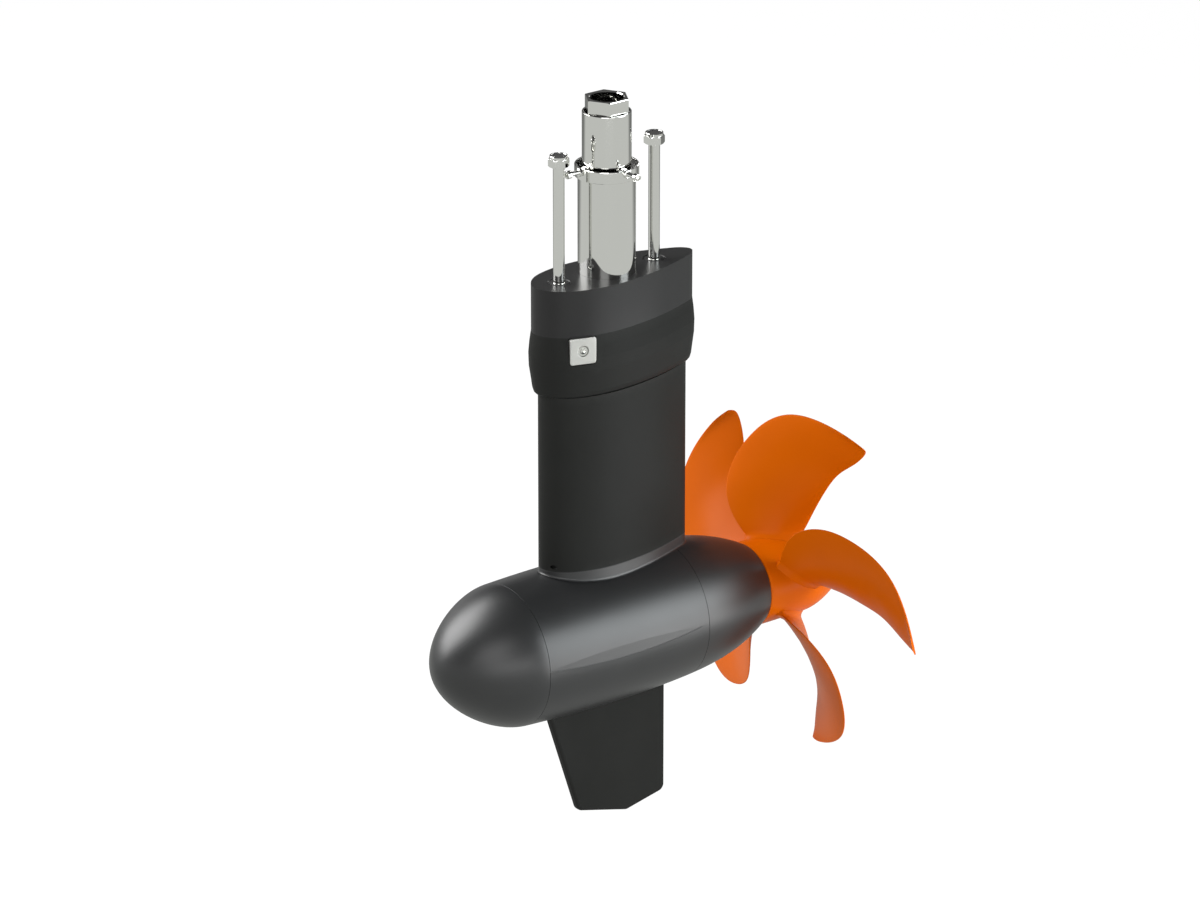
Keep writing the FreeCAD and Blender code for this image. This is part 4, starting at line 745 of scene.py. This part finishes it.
# The leg's lowest outer points, in turn round its outline, without those of the cable duct
FOOT_BAND, DUCT_REACH, OUTLINE_MIDDLE = 0.0002, 0.02, -10.0
leg_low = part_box("leg")[0].z
foot = {(round(v.co.x / MM, 3), round(v.co.y / MM, 3)) for v in nodes["leg"].data.vertices
        if v.co.z < leg_low + FOOT_BAND and math.hypot(v.co.x, v.co.y) > DUCT_REACH}
foot = sorted(foot, key=lambda p: math.atan2(p[1], p[0] - OUTLINE_MIDDLE))
neck_points = []
for i, (x, y) in enumerate(foot):
    before, after = Vector(foot[i - 1]), Vector(foot[(i + 1) % len(foot)])
    tangent = (after - before).normalized()
    out = Vector((tangent.y, -tangent.x))
    wall = Vector((x, y, pod_top(x, y) + FILLET_NECK))
    corner = Vector((x, y, pod_top(x, y)))
    ox, oy = x + out.x * FILLET_NECK, y + out.y * FILLET_NECK
    end = Vector((ox, oy, pod_top(ox, oy)))
    for k in range(NECK_STEPS):
        s = k / (NECK_STEPS - 1.0)
        neck_points.append(wall * (1 - s) ** 2 + corner * (2 * s * (1 - s)) + end * s * s)
    neck_points.append(corner - Vector((out.x, out.y, 1.0)) * NECK_SINK)
neck = bpy.data.meshes.new("neck_fillet")
neck.from_pydata([p * MM for p in neck_points], [], ring_faces(len(foot), NECK_STEPS + 1, True))
neck.shade_smooth()
neck.set_sharp_from_angle(angle=math.radians(60.0))
neck_fillet = bpy.data.objects.new("neck_fillet", neck)
bpy.context.scene.collection.objects.link(neck_fillet)
neck.materials.append(FINISHES["pod_black"].material)
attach(neck_fillet, "drive")


# Pale studio floor: white to the camera but for the object's shadow, and grey where the object mirrors
# it, darker far behind the object
FLOOR = cad_low.z - 0.001
FLOOR_REACH = 30.0
FLOOR_COLOUR = (0.86, 0.86, 0.86, 1.0)
WHITE, MIRROR_TINT = (1.0, 1.0, 1.0, 1.0), (0.98, 1.0, 0.965, 1.0)
WHITE_LEVEL, MIRROR_LEVEL, BOUNCE_LEVEL, PLAIN_SHARE = 1.06, 0.62, 1.0, 0.92
FAR_START, FAR_END, FAR_LEVEL = 0.65, 1.35, 0.20
floor_mesh = bpy.data.meshes.new("floor")
corners = [(-1, -1), (1, -1), (1, 1), (-1, 1)]
floor_mesh.from_pydata([(FLOOR_REACH * x, FLOOR_REACH * y, FLOOR) for x, y in corners], [], [(0, 1, 2, 3)])
floor = bpy.data.objects.new("floor", floor_mesh)
bpy.context.scene.collection.objects.link(floor)
floor_finish = bpy.data.materials.new("pale floor")
floor_finish.use_nodes = True
tree = floor_finish.node_tree
shader = tree.nodes["Principled BSDF"]
shader.inputs["Base Color"].default_value = FLOOR_COLOUR
shader.inputs["Roughness"].default_value = 0.9
shader.inputs["Specular IOR Level"].default_value = 0.0
rays = tree.nodes.new("ShaderNodeLightPath").outputs
distance = tree.nodes.new("ShaderNodeVectorMath")
distance.operation = "DOT_PRODUCT"
tree.links.new(tree.nodes.new("ShaderNodeNewGeometry").outputs["Position"], distance.inputs[0])
distance.inputs[1].default_value = (-back.x, -back.y, 0.0)
far = tree.nodes.new("ShaderNodeMapRange")
far.interpolation_type = "SMOOTHSTEP"
tree.links.new(distance.outputs["Value"], far.inputs["Value"])
fade = {"From Min": FAR_START, "From Max": FAR_END, "To Min": MIRROR_LEVEL, "To Max": FAR_LEVEL}
for socket, value in fade.items():
    far.inputs[socket].default_value = value
surface = shader.outputs[0]
for ray, level, share, colour in (("Is Diffuse Ray", BOUNCE_LEVEL, 1.0, WHITE),
                                  ("Is Camera Ray", WHITE_LEVEL, PLAIN_SHARE, WHITE),
                                  ("Is Glossy Ray", MIRROR_LEVEL, 1.0, MIRROR_TINT)):
    glow = tree.nodes.new("ShaderNodeEmission")
    glow.inputs["Color"].default_value = colour
    glow.inputs["Strength"].default_value = level
    if ray == "Is Glossy Ray":
        tree.links.new(far.outputs["Result"], glow.inputs["Strength"])
    blend = tree.nodes.new("ShaderNodeMixShader")
    tree.links.new(calculate(tree, "MULTIPLY", rays[ray], share), blend.inputs[0])
    tree.links.new(surface, blend.inputs[1])
    tree.links.new(glow.outputs[0], blend.inputs[2])
    surface = blend.outputs[0]
tree.links.new(surface, tree.nodes["Material Output"].inputs["Surface"])
floor_mesh.materials.append(floor_finish)

# Studio walls and ceiling as a ramp of (height share, brightness), from straight below to straight above
LEVELS = ((0.0, 0.70), (0.50, 0.90), (0.56, 0.80), (0.63, 0.10), (0.80, 0.06), (1.0, 0.12))
world = bpy.data.worlds.new("studio")
bpy.context.scene.world = world
world.use_nodes = True
tree = world.node_tree
split = tree.nodes.new("ShaderNodeSeparateXYZ")
tree.links.new(tree.nodes.new("ShaderNodeTexCoord").outputs["Generated"], split.inputs[0])
ramp = tree.nodes.new("ShaderNodeValToRGB")
while len(ramp.color_ramp.elements) < len(LEVELS):
    ramp.color_ramp.elements.new(0.5)
for element, (spot, level) in zip(ramp.color_ramp.elements, LEVELS):
    element.position = spot
    element.color = (level, level, level, 1.0)
height = calculate(tree, "MULTIPLY_ADD", split.outputs["Z"], 0.5, 0.5)
tree.links.new(height, ramp.inputs["Fac"])
tree.links.new(ramp.outputs["Color"], tree.nodes["Background"].inputs["Color"])
tree.nodes["Background"].inputs["Strength"].default_value = 1.0


def lamp(name, place, aim, size, power, tall=None, tint=(1.0, 1.0, 1.0)):
    """Soft area lamp aimed at a point."""
    data = bpy.data.lights.new(name, "AREA")
    data.shape = "RECTANGLE"
    data.size = size
    data.size_y = tall or size
    data.energy = power
    data.color = tint
    thing = bpy.data.objects.new(name, data)
    thing.location = place
    thing.rotation_euler = (Vector(aim) - Vector(place)).to_track_quat("-Z", "Y").to_euler()
    bpy.context.scene.collection.objects.link(thing)


# Lamps, placed in metres, with their power in watts; AIM is the middle of the object
AIM = (0.0, 0.0, -0.2)


def studio_spot(aside, height, toward):
    """Place in the room: metres to the camera's right, up, and towards the camera."""
    level = Vector((back.x, back.y, 0.0)).normalized()
    return right * aside + Vector((0, 0, height)) + level * toward


lamp("side softbox", studio_spot(1.85, 0.30, 0.5), (0.0, 0.0, 0.2), size=1.2, power=31.0, tall=1.15,
     tint=(0.93, 0.98, 1.0))
lamp("left softbox", studio_spot(-1.45, 0.85, -0.45), (0.0, 0.0, -0.33), size=1.5, power=58.0)
lamp("front fill", studio_spot(-0.3, 0.8, 2.0), AIM, size=1.2, power=12.0)
lamp("low fill", studio_spot(0.45, -0.2, 1.9), (-0.2, 0.0, -0.33), size=1.6, power=6.5, tall=0.5)
lamp("floor strip", (-0.47, 0.60, -0.435), (-0.03, 0.0, -0.34), size=0.7, power=2.3, tall=0.14)

bpy.context.scene.view_settings.view_transform = "Standard"
